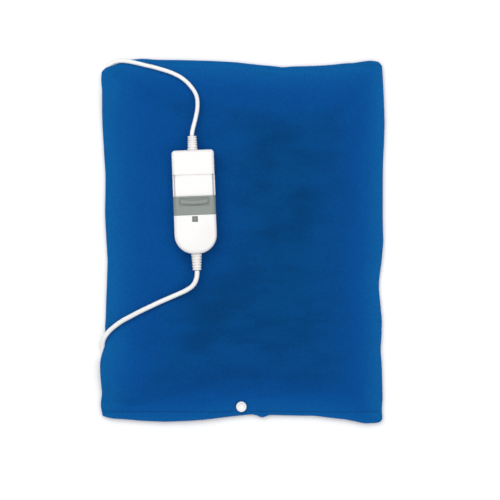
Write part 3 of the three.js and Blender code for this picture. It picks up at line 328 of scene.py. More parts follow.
@dataclass(frozen=True)
class PrismLens(Finish):
    """Tinted acrylic, moulded with a field of small prisms, whose light and shade are painted into its
    colour.
    """

    gloss_span: tuple[float, float] = (0.0, 1.0)
    prism_pitch: float = 0.9

    def pattern(self, tree: Tree, place: Socket) -> Sockets:
        """Adds the nodes of the prisms and their painted light and shade.

        Args:
            tree: The material's node tree.
            place: The socket with the place on the piece, in metres.

        Returns:
            The sockets of colour, gloss and height.
        """
        pitch = {"Vector": place, "Scale": 1 / (self.prism_pitch * MM), "Randomness": 0.0}
        cells = add_node(tree, "ShaderNodeTexVoronoi", pitch, distance="CHEBYCHEV")
        # Painted light and shade: each prism cell is dark at its middle and light at its edges
        mixed = {0: cells, 6: linear(self.second_colour), 7: linear(self.colour)}
        return add_node(tree, "ShaderNodeMix", mixed, 2, data_type="RGBA"), cells, cells


@dataclass(frozen=True)
class Finishes:
    """The finishes of the whole object."""

    # Deep blue pile that drinks the light and shows a soft sheen on its curves
    cloth: Finish = BrushedCloth(
        "brushed_polyester_cloth", Slot.COVER_CLOTH, "023C70", "034580", 0.95, 0.04, 52, 0.7, 0.35,
        Grain.FIBRE,
        {
            "Sheen Weight": 0.12,
            "Sheen Roughness": 0.5,
            "Sheen Tint": linear("3F86D0"),
            "Specular IOR Level": 0.06,
        },
    )
    # Twisted thread a shade darker than the cloth
    thread: Finish = Finish(
        "polyester_thread", Slot.COVER_CLOTH, "063A72", "084684", 0.8, 0.08, 3, 0.3, 0.05, Grain.FIBRE,
        {"Specular IOR Level": 0.15},
    )
    # Off-white felt of matted fibres
    wadding: Finish = Finish(
        "needled_polyester_wadding", Slot.PADDING, "D9DDE1", "EDEFF1", 0.95, 0.04, 18, 0.9, 0.5, Grain.FIBRE,
        {"Sheen Weight": 0.2},
    )
    # Dull brick-red insulation
    wire: Finish = Finish(
        "silicone_insulation", Slot.HEATING_WIRE, "A33B33", "B04A3E", 0.6, 0.08, 8, 0.8, 0.03,
    )
    # Bright white plastic from a polished mould: clear highlights, faint ripple
    shell: Finish = Finish(
        "polished_white_abs", Slot.WHITE_SHELL, "EBE9E8", "F0EFEE", 0.2, 0.05, 16, 4.0, 0.012,
        Grain.SPARK, {"IOR": 1.53, "Subsurface Weight": 0.08, "Subsurface Scale": 0.002},
    )
    # Grey plastic from a spark-eroded mould: an even satin
    slider: Finish = Finish(
        "satin_grey_abs", Slot.GREY_SLIDER, "7C8480", "878E8A", 0.42, 0.06, 9, 0.45, 0.03,
        Grain.SPARK, {"IOR": 1.53},
    )
    # Smoke-grey window with painted shade: each prism cell is darker at its middle, where its relief lies
    # lowest
    lens: Finish = PrismLens(
        "smoked_acrylic_lens", Slot.INDICATOR_LENS, "8C908C", "4A4E4C", 0.16, 0.05, 5, 0.9, 0.12,
        Grain.SPARK, {"IOR": 1.49, "Coat Weight": 0.3},
    )
    # Soft white plasticised PVC with a low satin gloss
    cord: Finish = Finish(
        "soft_white_pvc", Slot.WHITE_CORD, "EFEFED", "F5F5F3", 0.36, 0.06, 12, 1.4, 0.02,
        Grain.SPARK, {"IOR": 1.52, "Subsurface Weight": 0.1, "Subsurface Scale": 0.0015},
    )
    # Slightly duller rubbery moulding round the cord ends
    boot: Finish = Finish(
        "moulded_white_pvc", Slot.WHITE_SHELL, "E9E6E4", "EFEDEB", 0.45, 0.06, 6, 0.7, 0.025,
        Grain.SPARK, {"IOR": 1.52, "Subsurface Weight": 0.1, "Subsurface Scale": 0.0015},
    )
    # Dark nylon, matt from the mould
    nylon: Finish = Finish(
        "moulded_nylon", Slot.INNER_PLASTIC, "34393B", "3F4547", 0.55, 0.06, 6, 0.6, 0.03,
    )
    # Tan paper laminate with a dull face
    board: Finish = Finish(
        "phenolic_laminate", Slot.CIRCUIT_BOARD, "AF7F42", "C0935A", 0.6, 0.08, 5, 0.5, 0.02, Grain.FIBRE,
    )
    # Yellow metal, rolled, with a soft gloss
    brass: Finish = Finish(
        "rolled_brass", Slot.CONTACT_METAL, "C39B45", "D2AE62", 0.3, 0.08, 5, 0.3, 0.01,
        Grain.DRAWN, {"Metallic": 1.0},
    )
    # Nickel over drawn brass: pale, with fine lines along the pin
    nickel: Finish = Finish(
        "nickel_plated_pin", Slot.STEEL, "B9B9B4", "CBCBC8", 0.24, 0.06, 5, 0.25, 0.008,
        Grain.DRAWN, {"Metallic": 1.0},
    )


FINISHES = Finishes()


# Modelling by hand


def new_object(name: str, data: bpy.types.ID) -> bpy.types.Object:
    """Puts data into the scene as a new object.

    Args:
        name: The object's name.
        data: Its mesh, curve, camera or light.

    Returns:
        The object.
    """
    thing = bpy.data.objects.new(name, data)
    bpy.context.scene.collection.objects.link(thing)
    return thing


def pick_only(*pieces: Piece) -> None:
    """Selects these pieces and nothing else, the first one active."""
    bpy.ops.object.select_all(action="DESELECT")
    for piece in pieces:
        piece.select_set(True)
    bpy.context.view_layer.objects.active = pieces[0]


@contextmanager
def editing(piece: Piece, action: str = "SELECT") -> Iterator[None]:
    """Keeps a piece in edit mode while its mesh is worked on.

    Args:
        piece: The piece.
        action: What is done to its selection first.
    """
    pick_only(piece)
    bpy.ops.object.mode_set(mode="EDIT")
    bpy.ops.mesh.select_all(action=action)
    yield
    bpy.ops.object.mode_set(mode="OBJECT")


@contextmanager
def picked_edges(piece: Piece, wanted: EdgeTest) -> Iterator[None]:
    """Keeps a piece in edit mode with the edges selected that a test picks by their two ends.

    Args:
        piece: The piece.
        wanted: A test of two end places, in millimetres.
    """
    with editing(piece, "DESELECT"):
        bpy.ops.mesh.select_mode(type="EDGE")
        mesh = bmesh.from_edit_mesh(piece.data)
        for edge in mesh.edges:
            edge.select_set(wanted(*(vertex.co / MM for vertex in edge.verts)))
        bmesh.update_edit_mesh(piece.data)
        yield


def bevel_edges(piece: Piece, wanted: EdgeTest, width: float, segments: int) -> None:
    """Rounds some of a piece's edges.

    Args:
        piece: The piece.
        wanted: A test of two end places, in millimetres.
        width: The bevel's width in millimetres.
        segments: The steps of its round.
    """
    with picked_edges(piece, wanted):
        bpy.ops.mesh.bevel(
            offset=width * MM, segments=segments, profile=0.5, affect="EDGES", clamp_overlap=True
        )


def split_edges(piece: Piece, wanted: EdgeTest, cuts: int) -> None:
    """Cuts some of a piece's edges, and the faces between them, into even steps.

    Args:
        piece: The piece.
        wanted: A test of two end places, in millimetres.
        cuts: How many cuts each edge gets.
    """
    with picked_edges(piece, wanted):
        bpy.ops.mesh.subdivide(number_cuts=cuts)


def is_upright(a: Vector, b: Vector) -> bool:
    """Tells whether an edge runs upright, from its two ends in millimetres."""
    return abs(a.z - b.z) > 1


def modify(piece: Piece, kind: str, **settings: object) -> None:
    """Adds one modifier and applies it.

    Args:
        piece: The piece.
        kind: The modifier's type name.
        **settings: The modifier's settings.
    """
    pick_only(piece)
    modifier = piece.modifiers.new(kind.lower(), kind)
    for name, value in settings.items():
        setattr(modifier, name, value)
    bpy.ops.object.modifier_apply(modifier=modifier.name)


def combine(piece: Piece, other: Piece, cut: Cut) -> None:
    """Takes one solid from, adds it to or crosses it with another, and removes it.

    Args:
        piece: The solid that stays.
        other: The solid that is used up.
        cut: What it does.
    """
    modify(piece, "BOOLEAN", object=other, operation=cut.value, solver="EXACT")
    bpy.data.objects.remove(other, do_unlink=True)


def box(low: Place, high: Place) -> Piece:
    """Adds a box between two corners, which is cut further or cuts others.

    Args:
        low: The lowest corner, in millimetres.
        high: The highest corner, in millimetres.

    Returns:
        The box.
    """
    middle = [(a + b) / 2 * MM for a, b in zip(low, high)]
    size = [(b - a) * MM for a, b in zip(low, high)]
    bpy.ops.object.select_all(action="DESELECT")
    bpy.ops.mesh.primitive_cube_add(size=1, location=middle, scale=size)
    bpy.ops.object.transform_apply(location=True, rotation=True, scale=True)
    return bpy.context.object


def turned(profile: list[tuple[float, float]], sides: int) -> Piece:
    """Raises a turned solid from a ring, ring by ring, up its own axis.

    Args:
        profile: Radius and height of each ring in millimetres, from the bottom to the top.
        sides: The sides of each ring.

    Returns:
        The solid, about the Z axis.
    """
    bpy.ops.object.select_all(action="DESELECT")
    (radius, height), *rest = profile
    bpy.ops.mesh.primitive_circle_add(
        vertices=sides, radius=radius * MM, fill_type="NGON", location=(0, 0, height * MM)
    )
    piece = bpy.context.object
    bpy.ops.object.transform_apply(location=True, rotation=True, scale=True)
    with editing(piece):
        for next_radius, next_height in rest:
            bpy.ops.mesh.extrude_region_move(
                TRANSFORM_OT_translate={"value": (0, 0, (next_height - height) * MM)}
            )
            scale = next_radius / radius
            bpy.ops.transform.resize(value=(scale, scale, 1), center_override=(0, 0, next_height * MM))
            radius, height = next_radius, next_height
        bpy.ops.mesh.select_all(action="SELECT")
        bpy.ops.mesh.normals_make_consistent(inside=False)
    return piece


def quarter_round(radius: float, height: float, depth: float, rise: float, steps: int) -> list:
    """Follows a quarter round inwards and up, as points of a turned profile.

    Args:
        radius: The radius where it starts, in millimetres.
        height: The height where it starts.
        depth: How far it comes in.
        rise: How far it rises.
        steps: The steps of the whole quarter.

    Returns:
        Its points after the first, the last one included.
    """
    angles = [math.radians(90 * step / steps) for step in range(1, steps + 1)]
    return [(radius - depth * (1 - math.cos(a)), height + rise * math.sin(a)) for a in angles]


def set_down(piece: Piece, place: Place, heading: float, lying: bool = True) -> Piece:
    """Moves a piece from the Z axis to its place in its mesh.

    Args:
        piece: The piece, modelled about the Z axis.
        place: Where its origin goes, in millimetres.
        heading: Which way its axis points on the floor plan, in degrees from +Y, turning left.
        lying: Whether the axis lies flat.

    Returns:
        The piece.
    """
    lie = Matrix.Rotation(math.radians(-90), 4, "X") if lying else Matrix.Identity(4)
    turn = Matrix.Rotation(math.radians(heading), 4, "Z")
    piece.data.transform(Matrix.Translation(Vector(place) * MM) @ turn @ lie)
    return piece


def merged_copy(node: str) -> Piece:
    """Copies a solid's mesh and joins its loose triangles.

    Args:
        node: The solid's name.

    Returns:
        The copy, with shared corners.
    """
    piece = new_object(node + "_copy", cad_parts[node].data.copy())
    with editing(piece):
        bpy.ops.mesh.remove_doubles(threshold=SAME * MM)
    return piece


def soften(piece: Piece, width: float, segments: int, angle: float = 30.0, **settings: object) -> None:
    """Rounds all edges of a piece that are sharper than an angle.

    Args:
        piece: The piece.
        width: The round's width in millimetres.
        segments: Its steps.
        angle: The angle in degrees.
        **settings: More of the modifier's settings.
    """
    modify(
        piece, "BEVEL", width=width * MM, segments=segments, limit_method="ANGLE",
        angle_limit=math.radians(angle), **settings,
    )


class Workshop:
    """Finishes pieces: name, smooth shading, finish, body and the solids they stand for."""

    def __init__(self) -> None:
        """Starts with no material built and no piece finished."""
        self.built: dict[str, bpy.types.Material] = {}
        self.finished = 0

    def dress(self, piece: Piece, finish: Finish) -> None:
        """Gives a piece its material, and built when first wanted.

        Args:
            piece: The piece.
            finish: Its finish.
        """
        if finish.name not in self.built:
            self.built[finish.name] = finish.build()
        piece.data.materials.clear()
        piece.data.materials.append(self.built[finish.name])

    def finish(
        self, piece: Piece, name: str, finish: Finish, nodes: tuple[str, ...] = (), body: str = CASE_BODY,
        smooth_angle: float = 35.0,
    ) -> Piece:
        """Names, shades and dresses a piece and lets it ride on its body.

        Args:
            piece: The piece.
            name: Its name.
            finish: Its finish.
            nodes: The solids that it stands for.
            body: The body that it rides on.
            smooth_angle: The angle in degrees up to which its faces shade smoothly.

        Returns:
            The piece.
        """
        piece.name = name
        piece.data.name = name
        if piece.type == "MESH":
            pick_only(piece)
            bpy.ops.object.shade_smooth_by_angle(angle=math.radians(smooth_angle))
        self.dress(piece, finish)
        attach(piece, body)
        if nodes:
            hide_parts(*nodes)
        self.finished += 1
        log.info("%s stands for %s", name, ", ".join(nodes) or "no solid of its own")
        return piece


# Camera, floor and light


@dataclass
class Studio:
    """A pale floor, soft light from above and the camera straight over the pad."""

    look_x: float = 8.4
    look_y: float = -9.8
    frame_width: float = 547.5
    camera_height: float = 5000.0
    pad_level: float = 10.0
    sensor: float = 36.0
    floor_size: float = 8.0
    floor_gap: float = 0.2
    surround: tuple[float, float] = (0.2, 0.84)

    def place_camera(self) -> None:
        """Sets the camera over the middle of the picture."""
        data = bpy.data.cameras.new("overhead_camera")
        data.sensor_width = self.sensor
        data.lens = self.sensor * (self.camera_height - self.pad_level) / self.frame_width
        data.clip_end = 20.0
        camera = new_object("overhead_camera", data)
        camera.location = (self.look_x * MM, self.look_y * MM, self.camera_height * MM)
        bpy.context.scene.camera = camera

    def lay_floor(self) -> None:
        """Lays a large pale floor under the object."""
        bpy.ops.object.select_all(action="DESELECT")
        bpy.ops.mesh.primitive_grid_add(x_subdivisions=8, y_subdivisions=8, size=self.floor_size)
        floor = bpy.context.object
        floor.name = "pale_floor"
        floor.location.z = -self.floor_gap * MM
        material = bpy.data.materials.new("white_paper_floor")
        material.use_nodes = True
        shader = material.node_tree.nodes["Principled BSDF"]
        shader.inputs["Base Color"].default_value = linear("FFFFFF")
        shader.inputs["Roughness"].default_value = 0.9
        floor.data.materials.append(material)

    def hang_lights(self) -> None:
        """Hangs two large soft lights and sets an even pale surround."""
        scene = bpy.context.scene
        scene.view_settings.view_transform = "Standard"
        world = bpy.data.worlds.new("pale_surround")
        world.use_nodes = True
        tree = world.node_tree
        way = add_node(tree, "ShaderNodeTexCoord", output="Generated")
        height = add_node(tree, "ShaderNodeSeparateXYZ", {"Vector": way}, "Z")
        dim, bright = self.surround
        strength = add_node(tree, "ShaderNodeMapRange", {"Value": height, "To Min": dim, "To Max": bright})
        background = tree.nodes["Background"]
        background.inputs["Color"].default_value = (1, 1, 1, 1)
        tree.links.new(strength, background.inputs["Strength"])
        scene.world = world
        for name, place, size, power in (
            ("soft_key", (-0.35, 0.5, 1.4), 1.5, 11.5),
            ("soft_fill", (0.9, -0.3, 1.5), 1.4, 5.0),
        ):
            data = bpy.data.lights.new(name, "AREA")
            data.size = size
            data.energy = power
            light = new_object(name, data)
            light.location = place
            light.rotation_euler = (-Vector(place)).to_track_quat("-Z", "Y").to_euler()

    def build(self) -> None:
        """Sets up camera, floor and lights."""
        self.place_camera()
        self.lay_floor()
        self.hang_lights()


# Cords


def eased(value: float | np.ndarray) -> float | np.ndarray:
    """Rises smoothly from 0 to 1 while the value does."""
    share = np.clip(value, 0.0, 1.0)
    return share * share * (3 - 2 * share)


@dataclass
class Cords:
    """Pad lead and mains lead, with the coil, the tie and the plug that lie under the pad."""

    workshop: Workshop
    pad_lead_diameter: float = 4.5
    mains_diameter: float = 5.2
    coil_x: float = -25.0
    coil_y: float = -70.0
    coil_radius: float = 21.24
    coil_pitch: float = 5.9
    coil_turns: float = 7.3
    layer_turns: float = 3.4
    coil_low: float = 3.5
    start_turn: float = 0.25
    climb_turns: float = 0.5
    points_per_turn: int = 24

    def coil_route(self) -> list[Place]:
        """Follows the coil: out to in on the floor, then out again one layer up.

        Returns:
            The coil's points in millimetres.
        """
        middle = self.layer_turns + self.start_turn
        count = round(self.coil_turns * self.points_per_turn)
        points = []
        for step in range(count + 1):
            turn = self.coil_turns * step / count
            radius = self.coil_radius + self.coil_pitch * (abs(turn - middle) - self.start_turn)
            angle = (turn - self.start_turn) * 2 * math.pi
            x, y = self.coil_x + radius * math.cos(angle), self.coil_y + radius * math.sin(angle)
            climbed = float(eased((turn - self.layer_turns) / self.climb_turns))
            points.append((x, y, self.coil_low + self.coil_pitch * climbed))
        return points

    def lay(self, name: str, route: list | tuple, diameter: float, node: str) -> Piece:
        """Lays one stretch of cord along a route.

        Args:
            name: The piece's name.
            route: Its points in millimetres.
            diameter: Its diameter in millimetres.
            node: The solid that it stands for.

        Returns:
            The cord, a curve of one open spline.
        """
        data = bpy.data.curves.new(name, "CURVE")
        data.dimensions = "3D"
        data.bevel_depth = diameter / 2 * MM
        data.bevel_resolution = 5
        data.use_fill_caps = True
        data.resolution_u = 6
        spline = data.splines.new("BEZIER")
        spline.bezier_points.add(len(route) - 1)
        for point, place in zip(spline.bezier_points, route):
            point.co = Vector(place) * MM
            point.handle_left_type = point.handle_right_type = "AUTO"
        piece = new_object(name, data)
        return self.workshop.finish(piece, name, FINISHES.cord, (node,))

    def tie(self) -> Piece:
        """Shapes the tie round the coil from the solid's mesh.

        Returns:
            The tie.
        """
        piece = merged_copy("coil_tie")
        soften(piece, 0.35, 3)
        return self.workshop.finish(piece, "twist_tie", FINISHES.nylon, ("coil_tie",))

    def build(self, plug_pieces: list[Piece]) -> None:
        """Lays all cords.

        Args:
            plug_pieces: The plug's pieces, which end the mains lead; not used.
        """
        pad_lead = self.lay("pad_lead_cord", PAD_LEAD_ROUTE, self.pad_lead_diameter, "pad_lead")
        front = self.lay("mains_lead_cord", MAINS_LEAD_ROUTE, self.mains_diameter, "mains_lead")
        coil_route = self.coil_route()
        coil = self.lay("mains_lead_coil_cord", coil_route, self.mains_diameter, "mains_lead_coil")
        tail = self.lay("mains_lead_tail_cord", PLUG_LEAD_ROUTE, self.mains_diameter, "mains_lead_tail")
        tie = self.tie()


# Strain reliefs and plug


@dataclass
class RibbedBoot:
    """A tapered strain relief with grooves pressed round it."""

    base_radius: float
    tip_radius: float
    length: float
    neck_radius: float = 0.0
    neck_length: float = 0.0
    ribs: int = 5
    collar_share: float = 0.16
    groove_share: float = 0.36
    groove_depth: float = 1.0
    soft_edge: float = 0.35
    sides: int = 40

    def radius_at(self, along: float) -> float:
        """Gives the boot's radius at a distance from its base."""
        return self.base_radius + (self.tip_radius - self.base_radius) * along / self.length

    def model(self) -> Piece:
        """Turns the boot up the Z axis, its base at zero.

        Returns:
            The boot.
        """
        soft = self.soft_edge
        profile = [(self.base_radius - soft, 0.0), (self.radius_at(soft), soft)]
        if self.neck_length:
            neck = [(self.neck_radius, -self.neck_length), (self.neck_radius, -SAME)]
            profile = neck + profile
        collar = self.length * self.collar_share
        pitch = (self.length - collar) / self.ribs
        groove = pitch * self.groove_share
        slope = groove / 4
        for rib in range(self.ribs):
            start = collar + rib * pitch
            end = start + groove
            wide, narrow = self.radius_at(start), self.radius_at(end)
            profile += [
                (wide, start), (wide - self.groove_depth, start + slope),
                (narrow - self.groove_depth, end - slope), (narrow, end),
            ]
        profile += [
            (self.radius_at(self.length - soft), self.length - soft),
            (self.tip_radius - soft, self.length),
        ]
        piece = turned(profile, self.sides)
        soften(piece, 0.16, 2)
        return piece


@dataclass
class Plug:
    """The two-pin plug and its boot, which lie under the pad."""

    workshop: Workshop
    x: float = 5.0
    y: float = 59.0
    z: float = 6.85
    relief_length: float = 24.0
    relief_base: float = 5.0
    relief_tip: float = 3.8
    relief_gap: float = 0.3
    face: float = 36.0
    pin_spacing: float = 19.0

    def build(self) -> list[Piece]:
        """Makes boot, body and pins.

        Returns:
            The plug's pieces.
        """
        boot = RibbedBoot(self.relief_base, self.relief_tip, self.relief_length).model()
        set_down(boot, (self.x, self.y - self.relief_gap, self.z), 180)
        self.workshop.finish(boot, "plug_boot", FINISHES.boot, ("plug_relief",))
        body = merged_copy("plug_body")
        soften(body, 0.4, 3, 25)
        self.workshop.finish(body, "plug_moulding", FINISHES.boot, ("plug_body",), smooth_angle=50)
        pieces = [boot, body]
        for number, offset in ((1, -self.pin_spacing / 2), (2, self.pin_spacing / 2)):
            pin = set_down(RoundPin().model(), (self.x + offset, self.y + self.face, self.z), 0)
            node = f"plug_pin_{number}"
            pieces.append(self.workshop.finish(pin, f"nickel_pin_{number}", FINISHES.nickel, (node,)))
        return pieces


@dataclass
class RoundPin:
    """A round plug pin with a soft tip."""

    radius: float = 2.0
    buried: float = 8.7
    length: float = 19.0
    tip: float = 1.2

    def model(self) -> Piece:
        """Turns the pin up the Z axis, the plug's face at zero.

        Returns:
            The pin.
        """
        profile = [(self.radius, -self.buried), (self.radius, self.length - self.tip)]
        profile += quarter_round(self.radius, self.length - self.tip, self.tip, self.tip, 6)
        return turned(profile, 32)


# Controller


@dataclass
class Controller:
    """The white two-part case with its recessed track, the grey saddle, the lens and the strain reliefs."""

    workshop: Workshop
    x: float = CASE_X
    y: float = CASE_Y
    z: float = 27.3
    turn: float = 2.15
    width: float = 46.0
    length: float = 113.0
    height: float = 24.0
    wall: float = 2.0
    corner: float = 3.8
    end_depth: float = 21.0
    edge_round: float = 5.0
    parting: float = 12.0
    parting_gap: float = 0.15
    track_top: float = 30.0
    track_bottom: float = -14.4
    track_depth: float = 2.3
    clearance: float = 0.3
    slot_height: float = 2.0
    saddle_length: float = 20.5
    lens_y: float = -18.7
    lens_side: float = 5.5
    screw_places: Curve = ((-13, 46), (13, 46), (-11.5, -38), (11.5, -38))
    front_boss: float = 3.4
    back_boss: float = 4.2
    screw_hole: float = 1.7
    screw_reach: float = 6.8
    head_hole: float = 3.1
    head_recess: float = 2.4
    post_places: Curve = ((-13.0, -8.4), (-13.0, 34.0), (13.0, -8.4), (13.0, 34.0))
    post_radius: float = 2.0
    post_top: float = 6.7
    foot_depth: float = 3.2
    foot_half: float = 6.0
    foot_height: float = 1.3
    pocket_half: float = 16.6
    pocket_span: tuple[float, float] = (-0.6, 8.4)
    pocket_depth: float = 1.3
    ridge_y: float = 4.6
    relief_hole_radius: float = 3.9
    tip_half: float = 4.7
    crown: float = 1.2
    end_fall: float = 0.9
    overrun: float = 4.0
    far: float = 200.0

    def block(self, inset: float) -> Piece:
        """Models the whole case as one rounded block, drawn in on every side.

        Args:
            inset: How far it is drawn in, in millimetres.

        Returns:
            The block in the controller's own frame.
        """
        half, top = self.width / 2 - inset, self.length / 2 - inset
        low, high = inset, self.height - inset
        piece = box((-half, -top, low), (half, top, high))

        def upright_at(end: int) -> EdgeTest:
            return lambda a, b: is_upright(a, b) and a.y * end > 0 and b.y * end > 0

        def on_rim(a: Vector, b: Vector) -> bool:
            return any(abs(a.z - z) < SAME and abs(b.z - z) < SAME for z in (low, high))

        bevel_edges(piece, upright_at(1), max(self.corner - inset, 1.0), 8)
        bevel_edges(piece, upright_at(-1), self.end_depth - inset, 18)
        bevel_edges(piece, on_rim, max(self.edge_round - inset, self.clearance), 6)
        return piece

    def track_band(self, low: float, high: float, grow: float = 0.0) -> Piece:
        """Models a block over the whole width of the track.

        Args:
            low: Its lowest height, in millimetres.
            high: Its highest height.
            grow: How far it goes beyond the track's ends.

        Returns:
            The block.
        """
        return box((-self.far, self.track_bottom - grow, low), (self.far, self.track_top + grow, high))

    @staticmethod
    def columns(piece: Piece, places: Curve, *stack: tuple[float, float, float, Cut]) -> None:
        """Adds round columns to a piece, or cuts them out of it, at each of some places.

        Args:
            piece: The piece.
            places: Where they stand, in millimetres.
            *stack: For each column its radius, its lowest and highest height and what it does.
        """
        for x, y in places:
            for radius, low, high, cut in stack:
                column = turned([(radius, low), (radius, high)], 24)
                column.data.transform(Matrix.Translation((x * MM, y * MM, 0)))
                combine(piece, column, cut)

    def cord_holes(self, piece: Piece) -> None:
        """Drills the two holes for the cords, half in each shell."""
        for end in (1, -1):
            hole = turned([(self.relief_hole_radius, side * self.overrun) for side in (-1, 1)], 32)
            set_down(hole, (0, end * self.length / 2, self.parting), 0)
            combine(piece, hole, Cut.TAKE_AWAY)

    def break_edges(self, piece: Piece, width: float = 0.2) -> None:
        """Breaks the sharp edges as a mould does and closes the mesh."""
        modify(piece, "WELD", merge_threshold=SAME / 2 * MM)
        soften(piece, width, 2, 50)
        modify(piece, "WELD", merge_threshold=SAME / 2 * MM)

    def bow(self, piece: Piece) -> None:
        """Bows the front of a piece a little across and along the case, as a moulded front is.

        Args:
            piece: The piece, in the controller's own frame.
        """
        with editing(piece):
            for way, reach, steps in (((1, 0, 0), self.width / 2, 18), ((0, 1, 0), self.length / 2, 22)):
                for step in range(1, steps):
                    place = Vector(way) * (reach * (2 * step / steps - 1) * MM)
                    bpy.ops.mesh.select_all(action="SELECT")
                    bpy.ops.mesh.bisect(plane_co=place, plane_no=way)
        for vertex in piece.data.vertices:
            x, y, z = vertex.co / MM
            raised = max((z - self.parting) / (self.height - self.parting), 0.0)
            fall = self.crown * (2 * x / self.width) ** 2 + self.end_fall * (2 * y / self.length) ** 4
            vertex.co.z -= fall * raised * MM

    def settle(self, piece: Piece) -> Piece:
        """Moves a piece from the controller's own frame to its place on the pad."""
        place = Matrix.Translation(Vector((self.x, self.y, self.z)) * MM)
        piece.data.transform(place @ Matrix.Rotation(math.radians(self.turn), 4, "Z"))
        return piece

    def front_shell(self) -> None:
        """Models cap, recessed track and rounded lower end as one hollow shell."""
        base = self.parting + self.parting_gap
        far, under = self.far, base - self.overrun
        shell = self.block(0)
        band = self.track_band(under, far)
        combine(band, self.block(self.track_depth), Cut.TAKE_AWAY)
        combine(shell, band, Cut.TAKE_AWAY)
        cavity = self.block(self.wall)
        combine(cavity, self.track_band(-far, far, self.wall), Cut.TAKE_AWAY)
        combine(shell, cavity, Cut.TAKE_AWAY)
        combine(shell, self.block(self.track_depth + self.wall), Cut.TAKE_AWAY)
        combine(shell, box((-far, -far, base), (far, far, far)), Cut.KEEP_COMMON)
        combine(shell, self.track_band(under, base + self.slot_height), Cut.TAKE_AWAY)
        self.columns(
            shell, self.screw_places,
            (self.front_boss, base, self.height - self.wall / 2, Cut.ADD),
            (self.screw_hole, under, base + self.screw_reach, Cut.TAKE_AWAY),
        )
        combine(shell, self.window(self.clearance, 2 * self.overrun, far), Cut.TAKE_AWAY)
        self.cord_holes(shell)
        self.break_edges(shell)
        self.bow(shell)
        self.workshop.finish(self.settle(shell), "front_shell", FINISHES.shell, ("case_front_shell",))

    def back_shell(self) -> None:
        """Models the hollow back with its screw bosses and board posts."""
        top, far, under = self.parting - self.parting_gap, self.far, -self.overrun
        shell = self.block(0)
        combine(shell, self.block(self.wall), Cut.TAKE_AWAY)
        combine(shell, box((-far, -far, -far), (far, far, top)), Cut.KEEP_COMMON)
        self.columns(
            shell, self.screw_places,
            (self.back_boss, self.wall / 2, top, Cut.ADD),
            (self.head_hole, under, self.head_recess, Cut.TAKE_AWAY),
            (self.screw_hole, under, far, Cut.TAKE_AWAY),
        )
        self.columns(shell, self.post_places, (self.post_radius, self.wall / 2, self.post_top, Cut.ADD))
        self.cord_holes(shell)
        self.break_edges(shell)
        self.workshop.finish(self.settle(shell), "back_shell", FINISHES.shell, ("case_back_shell",))

    def saddle(self) -> None:
        """Models the grey saddle with a finger ridge that stands in a shallow pocket."""
        low = self.track_bottom + self.clearance
        high = low + self.saddle_length
        middle = (low + high) / 2
        base = self.parting + self.parting_gap + self.clearance / 2
        far = self.far
        piece = self.block(0)
        combine(piece, self.block(self.track_depth - self.clearance), Cut.TAKE_AWAY)
        combine(piece, box((-far, low, base), (far, high, far)), Cut.KEEP_COMMON)
        inside = self.width / 2 - self.track_depth + self.clearance
        for side in (-1, 1):
            near, out = sorted((side * (inside - self.foot_depth), side * (inside + self.clearance)))
            start, end = middle - self.foot_half, middle + self.foot_half
            combine(piece, box((near, start, base), (out, end, base + self.foot_height)), Cut.ADD)
        start, end = (middle + offset for offset in self.pocket_span)
        half = self.pocket_half
        pocket = box((-half, start, self.height - self.pocket_depth), (half, end, far))
        bevel_edges(pocket, is_upright, 1.4, 4)
        combine(piece, pocket, Cut.TAKE_AWAY)
        combine(piece, self.ridge(middle + self.ridge_y), Cut.ADD)
        self.break_edges(piece, 0.15)
        self.bow(piece)
        self.workshop.finish(
            self.settle(piece), "heat_saddle", FINISHES.slider, ("slider_saddle",), SLIDER_BODY
        )

    def ridge(self, y: float) -> Piece:
        """Models the finger ridge, bowed towards the lower end.

        Args:
            y: The place of its middle along the case, in millimetres.

        Returns:
            The ridge.
        """
        length, depth, rise, bow = 29.5, 4.2, 2.0, 1.4
        top = self.height + rise
        piece = box((-length / 2, -depth / 2, self.height - 1.4), (length / 2, depth / 2, top))
        bevel_edges(piece, is_upright, 0.9, 4)
        bevel_edges(piece, lambda a, b: min(a.z, b.z) > top - SAME, 0.45, 3)
        split_edges(piece, lambda a, b: abs(a.x - b.x) > length / 2, 23)
        for vertex in piece.data.vertices:
            across = vertex.co.x / (length / 2 * MM)
            vertex.co.y -= bow * (1 - across * across) * MM
        piece.data.transform(Matrix.Translation((0, y * MM, 0)))
        return piece

    def window(self, gap: float, depth: float, top: float) -> Piece:
        """Models the block that fills or cuts the lens window.

        Args:
            gap: How far it stands out round the lens, in millimetres.
            depth: How far it goes below the front.
            top: The height of its top.

        Returns:
            The block.
        """
        half = self.lens_side / 2 + gap
        return box((-half, self.lens_y - half, self.height - depth), (half, self.lens_y + half, top))

    def lens(self) -> None:
        """Models the small square window with a bevelled face."""
        piece = self.window(0, self.overrun, self.height)
        bevel_edges(piece, is_upright, 0.5, 3)
        bevel_edges(piece, lambda a, b: min(a.z, b.z) > self.height - SAME, 0.25, 2)
        self.bow(piece)
        self.workshop.finish(self.settle(piece), "indicator_window", FINISHES.lens, ("indicator_lens",))

    def reliefs(self) -> None:
        """Models the two ribbed strain reliefs with their necks in the shells."""
        base, turn = self.length / 2 + self.parting_gap, math.radians(self.turn)
        for name, node, heading, base_radius, tip_radius in (
            ("pad_lead_boot", "pad_lead_relief", 0, 5.5, 4.75),
            ("mains_lead_boot", "mains_lead_relief", 180, 5.75, 4.65),
        ):
            low, high = (corner / MM for corner in map(Vector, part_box(node)))
            tip, end = (low.y, -base) if heading else (high.y, base)
            # How far the relief reaches along its own axis, from its box on the pad
            reach = (abs(tip - self.y) - self.tip_half * math.sin(turn)) / math.cos(turn)
            boot = RibbedBoot(base_radius, tip_radius, reach - base, 3.6, 3.0).model()
            set_down(boot, (0, end, self.parting), heading)
            self.workshop.finish(self.settle(boot), name, FINISHES.boot, (node,))

    def build(self) -> None:
        """Models all pieces of the controller that show."""
        self.front_shell()
        self.back_shell()
        self.saddle()
        self.lens()
        self.reliefs()


# Press stud


